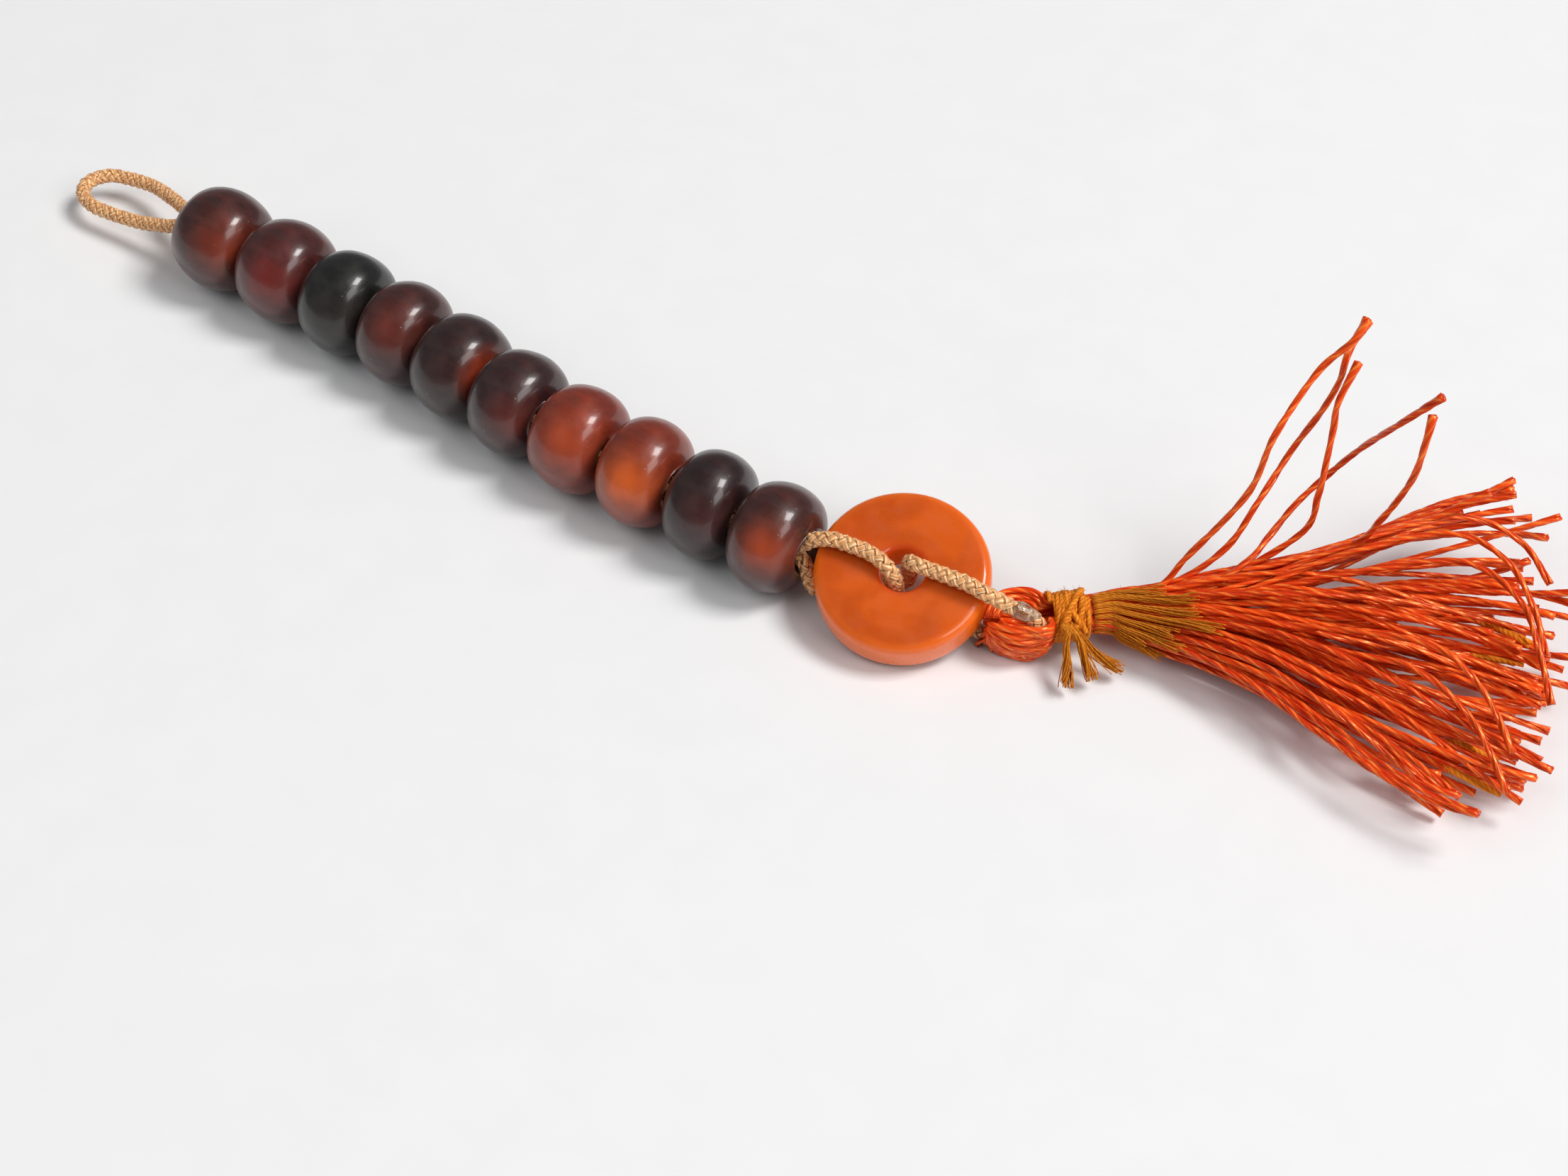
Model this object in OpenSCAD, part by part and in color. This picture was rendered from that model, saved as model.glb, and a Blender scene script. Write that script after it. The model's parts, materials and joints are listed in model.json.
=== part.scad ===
// Beaded tassel charm: a doubled braided cord that runs through ten drilled horn beads and one flat
// ring, with a hanging loop at one end and a bound thread tassel at the other.
// It is drawn as it lies on a table. X runs from the loop to the tassel and Z points up. The origin is
// the inner side of the hanging loop's tip, at the height of the cord's middle.

/* [Cord] */
// Diameter of the braided cord
cord_d = 1.1; // [0.8:0.05:1.4]
// Space between the two legs of the doubled cord
leg_gap = 0.04; // [0.02:0.01:0.1]
// Gap between two stretches of cord where the string bends
bend_gap = 0.24; // [0.2:0.02:0.4]

/* [Beads] */
// Diameter of a bead
bead_d = 7.1; // [6:0.1:9]
// Width of a plain bead along the string
bead_w = 5.1; // [4:0.1:7]
// Extra width of each bead, because they are turned by hand
bead_extra = [0.6, 0.5, 0, -0.2, 0, -0.1, 0.1, -0.1, -0.4, -0.2];
// Gap between the crowns of two beads
bead_gap = 0.2; // [0.1:0.05:0.5]
// Clearance between the doubled cord and the wall of a bead's bore
bore_clear = 0.18; // [0.1:0.01:0.4]
// Chamfer at the mouth of a bore
mouth = 0.7; // [0.3:0.05:0.9]
// How square a bead's outline is: 2 is an ellipse
bead_square = 2.6; // [2:0.1:3.5]

/* [Disc] */
// Diameter of the flat ring
disc_d = 10.8; // [9:0.1:14]
// Thickness of the flat ring
disc_t = 2.6; // [1.8:0.1:4]
// Radius of the ring's rounded outer edge, at most half its thickness
disc_edge = 1; // [0.3:0.05:1.2]
// Clearance between the doubled cord and the wall of the ring's hole
disc_clear = 0.28; // [0.15:0.01:0.5]
// Gap between the ring's faces and the cord that lies on them
lay_gap = 0.14; // [0.05:0.01:0.3]

/* [Tassel] */
// Diameter of the eye, a bulb of folded threads that the cord passes through
eye_d = 4.3; // [3.6:0.1:6]
// Length of the eye along the tassel
eye_len = 3.7; // [3:0.1:5]
// Diameter of the bound neck inside its binding
neck_d = 2.4; // [1.6:0.1:3]
// Diameter of the binding thread
wrap_d = 0.45; // [0.3:0.05:0.7]
// Number of turns of the binding thread
wraps = 5; // [3:1:8]
// Length of the skirt's threads from the binding
skirt_len = 28.4; // [20:0.2:40]
// Width of the fanned skirt at its tips
skirt_w = 24; // [14:0.5:30]
// Height of the fanned skirt at its tips
skirt_h = 6.6; // [4:0.2:9]
// Diameter of one two-ply skirt thread
thread_d = 0.5; // [0.3:0.05:0.8]
// Height of the beads' axis over the hanging loop's tip
row_rise = 1.75; // [1:0.05:2.5]

/* [Hidden] */

BEADS = 10;
LEG = (cord_d + leg_gap) / 2;             // from the string's axis to the middle of one leg
BORE_D = 2 * cord_d + leg_gap + 2 * bore_clear;
DISC_BORE_D = 2 * cord_d + leg_gap + 2 * disc_clear;
CORD_SIDES = 8;
ROUND = 48;

// The bends of the string: one before each bead and one after the last. Between two bends the string
// is straight. BEND_Y is how far each bend lies to the side, because the row isn't quite straight.
BEND_Y = [-0.1, 0, 0.1, 0.2, 0.1, -0.4, -0.8, -0.8, -0.6, -0.4, -0.3];
ROW_START = 10.55;
function bead_len(i) = bead_w + bead_extra[i] + bead_gap;
function bend_x(i) = i == 0 ? ROW_START : bend_x(i - 1) + bead_len(i - 1);
function bend(i) = [bend_x(i), BEND_Y[i], row_rise];
function bead_yaw(i) = atan2(BEND_Y[i + 1] - BEND_Y[i], bead_len(i));
ROW_END = bend(BEADS);

// The disc leans on the crossing cords with its low side near the table: its frame is turned by
// DISC_TURN, with w along its axis.
FLOOR_Z = ROW_END.z - bead_d / 2;
DISC_TURN = [18, 8, 0];
DISC_TILT = acos(cos(DISC_TURN.x) * cos(DISC_TURN.y));
DISC_AT = [
    ROW_END.x + disc_d / 2 + 0.1,
    ROW_END.y + 2.05,
    FLOOR_Z + disc_d / 2 * sin(DISC_TILT) + disc_t / 2 * cos(DISC_TILT) + 0.16];
LAY = disc_t / 2 + cord_d / 2 + lay_gap;  // from the disc's middle to a cord on its face
function turned(p, a) =
    let (y = p.y * cos(a.x) - p.z * sin(a.x))
    let (z = p.y * sin(a.x) + p.z * cos(a.x))
    [p.x * cos(a.y) + z * sin(a.y), y, z * cos(a.y) - p.x * sin(a.y)];
function on_disc(p) = DISC_AT + turned([p.x * disc_d / 2, p.y * cord_d, p.z * LAY], DISC_TURN);
function past_row(p) = ROW_END + [p.x, p.y * cord_d, p.z * cord_d];

// The tassel's head: its axis starts in the middle of the folded eye and points to the skirt. The
// skirt's root is a ball, so that the skirt can turn, and ROOT_AT is the ball's middle.
EYE_AT = [DISC_AT.x + disc_d / 2 + eye_len / 2 - 0.1, DISC_AT.y + 2.1, FLOOR_Z + eye_d / 2];
HEAD_YAW = 45;
BIND_FROM = eye_len / 2 - 0.1;            // along the head's axis
BIND_LEN = wraps * wrap_d;
BIND_R = neck_d / 2 + wrap_d;
ROOT_GAP = 0.2;
ROOT_R = 1.4;
ROOT_AT = EYE_AT + (BIND_FROM + BIND_LEN + ROOT_GAP + ROOT_R) * [cos(HEAD_YAW), sin(HEAD_YAW), 0];
SKIRT_YAW = 24.5;
function from_eye(p) = EYE_AT + p;
function from_root(p) = ROOT_AT + p;
function on_skirt(p) = ROOT_AT + [p.x * cos(SKIRT_YAW) - p.y * sin(SKIRT_YAW),
    p.x * sin(SKIRT_YAW) + p.y * cos(SKIRT_YAW), p.z];

// Routes of the cord, as points chosen by hand. The third value of LOOP_ROUTE is a share of row_rise.
LOOP_ROUTE = [
    [8.4, 1.1, 0.75], [6.1, 1.9, 0.4], [3.9, 2.4, 0.15], [1.8, 2.3, 0], [0.1, 1.6, 0],
    [-0.55, 0.3, 0], [0, -0.9, 0], [1.5, -1.5, 0], [3.6, -1.4, 0.05], [6, -1.1, 0.2], [8.5, -0.85, 0.6]
];
// A point past the row's end is [length, share of cord_d across, share of cord_d up]. A point by the
// disc, in the disc's frame, is [share of its radius, share of cord_d across, share of LAY up].
// The leg that rises over the disc and dives into its hole
OVER_START = [[-3.2, -0.46, 0.28], [-1.9, -0.23, 0.5], [-0.85, -0.1, 0.5], [-0.35, 0, 0.73]];
OVER_DISC = [[-1.02, -1.45, 0.75], [-0.83, -1, 1], [-0.65, -0.73, 1], [-0.44, -0.5, 1], [-0.26, -0.45, 1],
    [-0.12, -0.55, 0.91], [-0.03, -0.6, 0.66], [0, -0.62, 0.36], [0, -0.62, 0.08]];
// The leg that drops under the disc and rises into its hole
UNDER_START = [[-3.2, 0.46, -0.28], [-1.9, 0.18, -0.5], [-0.75, -0.1, -0.52], [-0.25, -0.23, -0.62]];
UNDER_DISC = [[-0.955, -2.6, -0.45], [-0.865, -2.8, -0.76], [-0.78, -2.55, -1], [-0.6, -1.8, -1],
    [-0.37, -0.8, -1], [-0.17, 0.1, -1], [-0.04, 0.5, -0.81], [0, 0.62, -0.46], [0, 0.62, -0.08]];
// The bight: out of the hole, over the disc, round through the tassel's eye, back under the disc
BIGHT_OUT = [[0, 0.62, 0.08], [0, 0.62, 0.41], [0.03, 0.55, 0.72], [0.13, 0.46, 0.96], [0.31, 0.64, 1],
    [0.54, 0.9, 1.02], [0.74, 1.1, 1.03], [0.93, 1.2, 1]];
BIGHT_EYE = [[-0.9, -1.1, 2.2], [0.1, -0.75, 1.75], [0.9, -0.4, 1.4], [1.4, -0.15, 0.8],
    [1.5, -0.1, 0], [1.3, -0.2, -0.8], [0.7, -0.4, -1.4], [-0.6, -0.7, -1.5], [-2.2, -1, -1.4]];
BIGHT_BACK = [[0.8, 0.45, -1.04], [0.57, 0.1, -1.03], [0.35, -0.2, -1], [0.17, -0.36, -1], [0.04, -0.55, -0.81],
    [0, -0.62, -0.46], [0, -0.62, -0.08]];
PIVOT = [1.5, -0.1, 0];                   // where the bight passes down through the eye, from EYE_AT
BED_YAW = 20;                             // direction of the upper leg over the eye
BED_Z = [-0.5, 0.2];                      // heights of the lower leg's tunnel and of the upper leg's bed

// Routes of the binding thread's loose ends, from the tassel's eye
END_ROUTES = [
    [[3.2, 0.35, 0.9], [3.5, -0.2, 0.3], [4.1, -1, -0.5], [4.6, -1.9, -1.2]],
    [[3.8, 0.55, 0.5], [4.3, 0.3, 0], [5, -0.1, -0.6], [5.6, -0.5, -1.2]],
    [[4.05, 1.0, -0.1], [4.8, 0.95, -0.5], [5.8, 1.1, -0.9], [6.7, 1.3, -1.2]]
];
// Short ends of the binding thread that lie on the skirt, from its root: along it, share of its
// width across it, and up
TAIL_ROUTES = [
    [[1, 0.033, 1.8], [3.4, 0.054, 2.3], [5.6, 0.07, 2.9]],
    [[1, 0.006, 2], [3.4, 0.012, 2.55], [5.6, 0.012, 3.2]],
    [[1, -0.021, 1.9], [3.4, -0.033, 2.45], [5.8, -0.046, 3.1]],
    [[1.2, -0.05, 1.55], [3.4, -0.075, 2], [5.5, -0.096, 2.5]],
    [[1.2, -0.08, 0.8], [3.2, -0.117, 0.9], [5, -0.146, 1]]
];
// Routes of the threads that spring out of the skirt, from the skirt's root
STRAY_ROUTES = [
    [[1.5, 2.3, 1], [2.65, 4, 3.1], [4.85, 6.3, 7.9], [5.35, 7.6, 11.9], [5.95, 10.8, 14.9],
        [7.15, 12.1, 16.9], [7.45, 13.3, 17.9]],
    [[2, 3.2, 1], [4.05, 6.1, 2.9], [4.65, 8.5, 5.4], [4.85, 11.7, 7.4], [5.85, 12.8, 10.4],
        [6.25, 13.6, 12.4], [6.15, 14.3, 13.9], [5.95, 16.7, 14.9]],
    [[4, 5.2, 1], [7.5, 8.9, 4], [7.85, 9.7, 6.9], [7.55, 10.7, 8.6], [7.15, 11.8, 10.4],
        [6.9, 12.4, 11.9], [7, 14.1, 13.9]],
    [[3.6, 2.8, 1.2], [5.6, 6, 2.8], [5.9, 8, 3.5], [6.2, 10.5, 4.5], [7.05, 12.5, 5.9],
        [8.75, 12.9, 8.9], [11.15, 12, 12.9], [13.15, 12.1, 15.9]],
    [[6.5, 5.6, 2], [10.35, 9.8, 3.9], [11.85, 10.1, 6.9], [13.15, 10.1, 10.9], [13.25, 10.7, 13.4],
        [13.05, 11.5, 14.9]],
    [[8, 8, 2], [11.5, 11.6, 4], [13.8, 14, 5.2], [15.9, 16.2, 6.8]]
];

// Rings of a tube along a route: each keeps the last one's roll, so that the tube doesn't twist
function unit(v) = v / norm(v);
function along(p, i) = unit(p[min(i + 1, len(p) - 1)] - p[max(i - 1, 0)]);
function side_of(v) = unit(cross(v, abs(v.z) < 0.9 ? [0, 0, 1] : [0, 1, 0]));
function sides(p, i = 0, last = undef) =
    i == len(p) ? [] :
    let (t = along(p, i))
    let (s = last == undef ? side_of(t) : unit(last - (last * t) * t))
    concat([s], sides(p, i + 1, s));
function ring(at, t, s, r, n) = [for (k = [0:n - 1])
    at + r * cos(360 * k / n) * s + r * sin(360 * k / n) * cross(t, s)];

// Skin over rings of n points each, with flat ends
module skin(rings, n) {
    m = len(rings);
    top = (m - 1) * n;
    walls = [for (i = [0:m - 2]) for (k = [0:n - 1])
        let (a = i * n + k, b = i * n + (k + 1) % n)
        each [[a, b + n, b], [a, a + n, b + n]]];
    caps = concat(
        [for (k = [1:n - 2]) [0, k, k + 1]],
        [for (k = [1:n - 2]) [top, top + k + 1, top + k]]);
    polyhedron([for (r = rings) each r], concat(walls, caps));
}

// Tube of diameter d along route p, whose end is tip times as thick
module tube(p, d, n = CORD_SIDES, tip = 1) {
    s = sides(p);
    last = len(p) - 1;
    skin([for (i = [0:last])
        ring(p[i], along(p, i), s[i], d / 2 * (i == last ? tip : 1), n)], n);
}

// Curve through a route's points, with one more point between each two
function between(p, i) = let (m = len(p) - 1)
    (9 * (p[i] + p[i + 1]) - p[max(i - 1, 0)] - p[min(i + 2, m)]) / 16;
function smooth(p) = [for (i = [0:len(p) - 1]) each i < len(p) - 1 ? [p[i], between(p, i)] : [p[i]]];

// The loop that the charm hangs by
module hang_loop() {
    mouth_x = ROW_START - bend_gap / 2;
    end_a = [mouth_x, BEND_Y[0] + LEG, row_rise];
    end_b = [mouth_x, BEND_Y[0] - LEG, row_rise];
    lead = [0.5, 0, 0.02];
    route = [for (p = LOOP_ROUTE) [p.x, p.y, p.z * row_rise]];
    curve = smooth(concat([end_a - lead], route, [end_b - lead]));
    color("peachpuff") tube(concat([end_a], curve, [end_b]), cord_d);
}

// Stretch of the doubled cord through bead i, from one bend to the next
module string_part(i) {
    run = norm(bend(i + 1) - bend(i)) - bend_gap;
    color("tan") translate(bend(i)) rotate([0, 0, bead_yaw(i)])
        for (side = [-1, 1])
            translate([bend_gap / 2, side * LEG, 0]) rotate([0, 90, 0])
                cylinder(h = run, d = cord_d, $fn = ROUND);
}

// Last stretch: one leg climbs over the disc and one drops under it, and both end in its hole
module string_last() {
    from = bend(BEADS - 1) + [bend_gap / 2, 0, 0];
    lead = [0.5, 0, 0];
    over = concat([from - [0, LEG, 0], from + lead - [0, LEG, 0]], [for (p = OVER_START) past_row(p)],
        [for (p = OVER_DISC) on_disc(p)]);
    under = concat([from + [0, LEG, 0], from + lead + [0, LEG, 0]], [for (p = UNDER_START) past_row(p)],
        [for (p = UNDER_DISC) on_disc(p)]);
    color("tan") tube(over, cord_d);
    color("tan") tube(under, cord_d);
}

// Half outline of a bead: superellipse of half width a and radius b, from its bore to its bore
function bead_outline(a, b) = [for (t = [-80:8:80])
    let (c = cos(t), s = sin(t))
    [b * pow(abs(c), 2 / bead_square), a * sign(s) * pow(abs(s), 2 / bead_square)]];

// Bead i, turned from horn and drilled through
module bead(i) {
    w = bead_w + bead_extra[i];
    face = w / 2 * pow(1 - pow((BORE_D / 2 + mouth) / (bead_d / 2), bead_square), 1 / bead_square);
    colour = i == 6 || i == 7 ? "orangered" : i == 2 ? "darkslategray" : "saddlebrown";
    color(colour) translate((bend(i) + bend(i + 1)) / 2) rotate([0, 90, bead_yaw(i)])
        difference() {
            rotate_extrude($fn = ROUND)
                polygon(concat([[0, -w / 2]], bead_outline(w / 2, bead_d / 2), [[0, w / 2]]));
            translate([0, 0, -w]) cylinder(h = 2 * w, d = BORE_D, $fn = ROUND);
            for (end = [0, 1]) mirror([0, 0, end])
                translate([0, 0, face - mouth])
                    cylinder(h = 2 * mouth, d1 = BORE_D, d2 = BORE_D + 4 * mouth, $fn = ROUND);
        }
}

// Flat ring with a rounded rim, threaded on the crossing cords
module disc() {
    edge = min(disc_edge, disc_t / 2 - 0.05);
    lip = 0.3;
    color("darkorange") translate(DISC_AT) rotate(DISC_TURN)
        difference() {
            rotate_extrude($fn = 64) {
                translate([0, -disc_t / 2]) square([disc_d / 2 - edge, disc_t]);
                translate([0, edge - disc_t / 2]) square([disc_d / 2, disc_t - 2 * edge]);
                for (z = [-1, 1]) translate([disc_d / 2 - edge, z * (disc_t / 2 - edge)])
                    circle(r = edge, $fn = ROUND);
            }
            translate([0, 0, -disc_t]) cylinder(h = 2 * disc_t, d = DISC_BORE_D, $fn = ROUND);
            for (end = [0, 1]) mirror([0, 0, end])
                translate([0, 0, disc_t / 2 - lip])
                    cylinder(h = 2 * lip, d1 = DISC_BORE_D, d2 = DISC_BORE_D + 4 * lip, $fn = ROUND);
        }
}

// End of the doubled cord: out of the disc's hole, round through the tassel's eye and back
module cord_bight() {
    route = concat([for (p = BIGHT_OUT) on_disc(p)],
        [for (p = BIGHT_EYE) from_eye(p)],
        [for (p = BIGHT_BACK) on_disc(p)]);
    color("tan") tube(route, cord_d);
}

// Melted joint of the cord's two ends, beside the binding
module cord_seal() {
    r = 0.65 * cord_d;
    color("ivory") translate(from_eye(BIGHT_EYE[2]) + [0, 0, 0.15]) rotate([0, 35, 30])
        rotate_extrude($fn = ROUND) intersection() {
            translate([0, -2 * r]) square([r, 4 * r]);
            union() {
                translate([0, 0.4]) circle(r = r, $fn = ROUND);
                translate([0, -0.4]) circle(r = r, $fn = ROUND);
            }
        }
}

// Bulb of folded tassel threads with the neck that the binding holds. Slots let the cord pass.
module tassel_eye() {
    slot = cord_d + 0.9;
    bulb = [for (t = [0:7.5:180]) [eye_d / 2 * sin(t), eye_len / 2 * -cos(t)]];
    color("orangered") translate(EYE_AT) difference() {
        rotate([0, 90, HEAD_YAW]) union() {
            rotate_extrude($fn = 64) polygon(bulb);
            cylinder(h = BIND_FROM + BIND_LEN, d = neck_d, $fn = ROUND);
        }
        // way down through the bulb
        translate([PIVOT.x, PIVOT.y, -eye_d]) cylinder(h = 2 * eye_d, d = slot, $fn = ROUND);
        // bed of the upper leg
        translate([PIVOT.x, PIVOT.y, BED_Z[1]]) rotate([0, 0, BED_YAW])
            translate([-2 * eye_d, -slot / 2, 0]) cube([2 * eye_d, slot, eye_d]);
        // tunnel of the leg that comes back
        translate([PIVOT.x, PIVOT.y, -eye_d]) linear_extrude(eye_d + BED_Z[0])
            polygon([[0, -slot / 2], [0, slot / 2], [-4.6, 1.2], [-4.6, -2.4]]);
    }
}

// Turns of yellow thread round the neck
module binding() {
    color("goldenrod") translate(EYE_AT) rotate([0, 90, HEAD_YAW]) translate([0, 0, BIND_FROM])
        rotate_extrude($fn = ROUND) for (i = [0:wraps - 1]) {
            translate([BIND_R - wrap_d / 2, (i + 0.5) * wrap_d]) circle(d = wrap_d, $fn = 24);
            translate([neck_d / 2, i * wrap_d]) square([wrap_d / 2, wrap_d]);
        }
}

// Loose end i of the binding thread, frayed wide at its tip
module binding_end(i) {
    color("goldenrod") tube([for (p = END_ROUTES[i]) from_eye(p)], 1.4 * wrap_d, 8, 1.5);
}

// Short ends of the binding thread on the skirt
module binding_tails() {
    color("gold") for (r = TAIL_ROUTES)
        tube([for (p = r) on_skirt([p.x, p.y * skirt_w, p.z])], wrap_d, 6);
}

// Skirt of the tassel as one closed fan. Its root is a ball, and each row of the fan is
// [share of its length, share of its width, share of its height].
SKIRT_ROWS = [[0.1, 0.19, 0.56], [0.2, 0.28, 0.74], [0.38, 0.45, 0.9], [0.56, 0.62, 0.98],
    [0.74, 0.78, 1], [0.88, 0.91, 0.96], [0.99, 1, 0.84]];
module tassel_skirt() {
    n = 20;
    bow = 0.1;
    reach = skirt_len - ROOT_R;
    ball = [for (t = [15:25:90])
        [-ROOT_R * cos(t), ROOT_R * sin(t), ROOT_R * sin(t), 0, 0]];
    fan = [for (row = SKIRT_ROWS)
        let (h = row[2] * skirt_h / 2)
        [row[0] * reach, row[1] * skirt_w / 2, h, bow * row[0], max(0, FLOOR_Z + h - ROOT_AT.z)]];
    rings = [for (r = concat(ball, fan)) [for (k = [0:n - 1])
        let (c = cos(360 * k / n), t = sin(360 * k / n))
        let (u = r[0] * (1 - r[3] * c * c), v = r[1] * c)
        on_skirt([u, v, max(r[4] + r[2] * t, FLOOR_Z - ROOT_AT.z)])]];
    color("orangered") skin(rings, n);
}

// Thread i that springs out of the skirt
module stray_thread(i) {
    color("orangered") tube([for (p = STRAY_ROUTES[i]) from_root(p)], thread_d, 6);
}

hang_loop();
for (i = [0:BEADS - 2])
    string_part(i);
string_last();  // string_10
for (i = [0:BEADS - 1])
    bead(i);
disc();
cord_bight();
cord_seal();
tassel_eye();
binding();
binding_end(0);  // binding_end_1
binding_end(1);  // binding_end_2
binding_end(2);  // binding_end_3
binding_tails();
tassel_skirt();
for (i = [0:len(STRAY_ROUTES) - 1])
    stray_thread(i);
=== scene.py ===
"""Looks of a beaded tassel charm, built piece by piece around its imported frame.

A doubled braided cord runs through ten horn beads and a flat resin ring. It has a hanging loop at one
end, and at the other it holds a tassel of twisted threads. Lengths are in millimetres until a mesh is
made, and every mesh is in metres in the frame's own axes.
"""
import json
import logging
import math
from dataclasses import dataclass, field
from enum import Enum
from typing import Callable, Union

import bpy
import numpy as np
from mathutils import Euler, Matrix, Vector


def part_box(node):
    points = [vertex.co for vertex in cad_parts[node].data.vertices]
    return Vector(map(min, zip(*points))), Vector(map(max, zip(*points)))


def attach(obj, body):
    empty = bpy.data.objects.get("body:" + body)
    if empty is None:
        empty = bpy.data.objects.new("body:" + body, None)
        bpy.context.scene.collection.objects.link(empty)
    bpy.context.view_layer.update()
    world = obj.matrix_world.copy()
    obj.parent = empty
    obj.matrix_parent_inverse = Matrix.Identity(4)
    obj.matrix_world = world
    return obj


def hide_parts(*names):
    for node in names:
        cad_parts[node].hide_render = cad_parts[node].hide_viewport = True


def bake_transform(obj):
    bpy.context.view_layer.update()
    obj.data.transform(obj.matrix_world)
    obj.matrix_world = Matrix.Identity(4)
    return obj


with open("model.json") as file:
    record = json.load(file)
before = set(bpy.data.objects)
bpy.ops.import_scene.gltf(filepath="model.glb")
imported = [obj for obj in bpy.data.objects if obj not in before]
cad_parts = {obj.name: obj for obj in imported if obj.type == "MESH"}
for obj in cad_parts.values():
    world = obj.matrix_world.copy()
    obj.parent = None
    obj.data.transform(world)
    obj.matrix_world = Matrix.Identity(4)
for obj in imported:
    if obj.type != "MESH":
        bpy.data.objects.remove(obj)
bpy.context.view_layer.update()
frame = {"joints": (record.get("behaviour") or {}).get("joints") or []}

Value = Union[bpy.types.NodeSocket, float]
Tint = Union[bpy.types.NodeSocket, tuple]

LOG = logging.getLogger("charm")
MM = 0.001
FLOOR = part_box("bead_01")[0].z / MM
BEADS = 10

# Sizes of the cord, the ring and the tassel. The skirt's length is to where most of its threads end.
CORD_D = 1.1
LEG = 0.57
BORE_R = 1.3
DISC_R = 5.4
DISC_T = 2.6
LAY = 1.99
DISC_TURN = (18.0, 8.0)
HEAD_YAW = 45.0
SKIRT_YAW = 24.5
SKIRT_LEN = 27.0
SKIRT_W = 24.0
SKIRT_H = 6.6

# Routes of the cord, as in the part's source
LOOP_ROUTE = [
    (8.4, 1.1, 0.75), (6.1, 1.9, 0.4), (3.9, 2.4, 0.15), (1.8, 2.3, 0), (0.1, 1.6, 0), (-0.55, 0.3, 0),
    (0, -0.9, 0), (1.5, -1.5, 0), (3.6, -1.4, 0.05), (6, -1.1, 0.2), (8.5, -0.85, 0.6)]
OVER_START = [(-3.2, -0.46, 0.28), (-1.9, -0.23, 0.5), (-0.85, -0.1, 0.5), (-0.35, 0, 0.73)]
OVER_DISC = [
    (-1.02, -1.45, 0.75), (-0.83, -1, 1), (-0.65, -0.73, 1), (-0.44, -0.5, 1), (-0.26, -0.45, 1),
    (-0.12, -0.55, 0.91), (-0.03, -0.6, 0.66), (0, -0.62, 0.36), (0, -0.62, 0.08)]
UNDER_START = [(-3.2, 0.46, -0.28), (-1.9, 0.18, -0.5), (-0.75, -0.1, -0.52), (-0.25, -0.23, -0.62)]
UNDER_DISC = [
    (-0.955, -2.6, -0.45), (-0.865, -2.8, -0.76), (-0.78, -2.55, -1), (-0.6, -1.8, -1), (-0.37, -0.8, -1),
    (-0.17, 0.1, -1), (-0.04, 0.5, -0.81), (0, 0.62, -0.46), (0, 0.62, -0.08)]
BIGHT_OUT = [
    (0, 0.62, 0.08), (0, 0.62, 0.41), (0.03, 0.55, 0.72), (0.13, 0.46, 0.96), (0.31, 0.64, 1),
    (0.54, 0.9, 1.02), (0.74, 1.1, 1.03), (0.93, 1.2, 1)]
BIGHT_EYE = [
    (-0.9, -1.1, 2.2), (0.1, -0.75, 1.75), (0.9, -0.4, 1.4), (1.4, -0.15, 0.8), (1.5, -0.1, 0),
    (1.3, -0.2, -0.8), (0.7, -0.4, -1.4), (-0.6, -0.7, -1.5), (-2.2, -1, -1.4)]
BIGHT_BACK = [
    (0.8, 0.45, -1.04), (0.57, 0.1, -1.03), (0.35, -0.2, -1), (0.17, -0.36, -1), (0.04, -0.55, -0.81),
    (0, -0.62, -0.46), (0, -0.62, -0.08)]
# Points of BIGHT_EYE where the head's hinge is, and where the two legs' routes meet
HINGE_POINT = 4
MEETING_POINT = 6
STRAY_ROUTES = [
    [(1.5, 2.3, 1), (2.65, 4, 3.1), (4.85, 6.3, 7.9), (5.35, 7.6, 11.9), (5.95, 10.8, 14.9),
     (7.15, 12.1, 16.9), (7.45, 13.3, 17.9)],
    [(2, 3.2, 1), (4.05, 6.1, 2.9), (4.65, 8.5, 5.4), (4.85, 11.7, 7.4), (5.85, 12.8, 10.4),
     (6.25, 13.6, 12.4), (6.15, 14.3, 13.9), (5.95, 16.7, 14.9)],
    [(4, 5.2, 1), (7.5, 8.9, 4), (7.85, 9.7, 6.9), (7.55, 10.7, 8.6), (7.15, 11.8, 10.4),
     (6.9, 12.4, 11.9), (7, 14.1, 13.9)],
    [(3.6, 2.8, 1.2), (5.6, 6, 2.8), (5.9, 8, 3.5), (6.2, 10.5, 4.5), (7.05, 12.5, 5.9),
     (8.75, 12.9, 8.9), (11.15, 12, 12.9), (13.15, 12.1, 15.9)],
    [(6.5, 5.6, 2), (10.35, 9.8, 3.9), (11.85, 10.1, 6.9), (13.15, 10.1, 10.9), (13.25, 10.7, 13.4),
     (13.05, 11.5, 14.9)],
    [(8, 8, 2), (11.5, 11.6, 4), (13.8, 14, 5.2), (15.9, 16.2, 6.8)]]

# Points worked out between two points of a route
DENSE = 24
# The braid: one full turn, distance of the strands from its middle, how far they weave, core and strand
BRAID_PITCH = 2.5
BRAID_MIDDLE = 0.355
BRAID_WAVE = 0.075
BRAID_CORE = 0.3
STRAND_WIDE = 0.215
STRAND_THICK = 0.105
# A two-ply thread, in shares of a ply's radius
PLY_SPREAD = 0.52
PLY_WIDE = 1.25
PLY_THICK = 0.98
# Lengths of a thread's flared end, of a long thread, and of its thinner root, and how much thinner it is
FLARE_LENGTH = 3.2
LONG_THREAD = 20
ROOT_LENGTH = 9
ROOT_THINNER = 0.22
# Angles that the tassel's head swings through, in degrees
SWING_STEPS = (-10, -5, 0, 5, 10)


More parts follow.
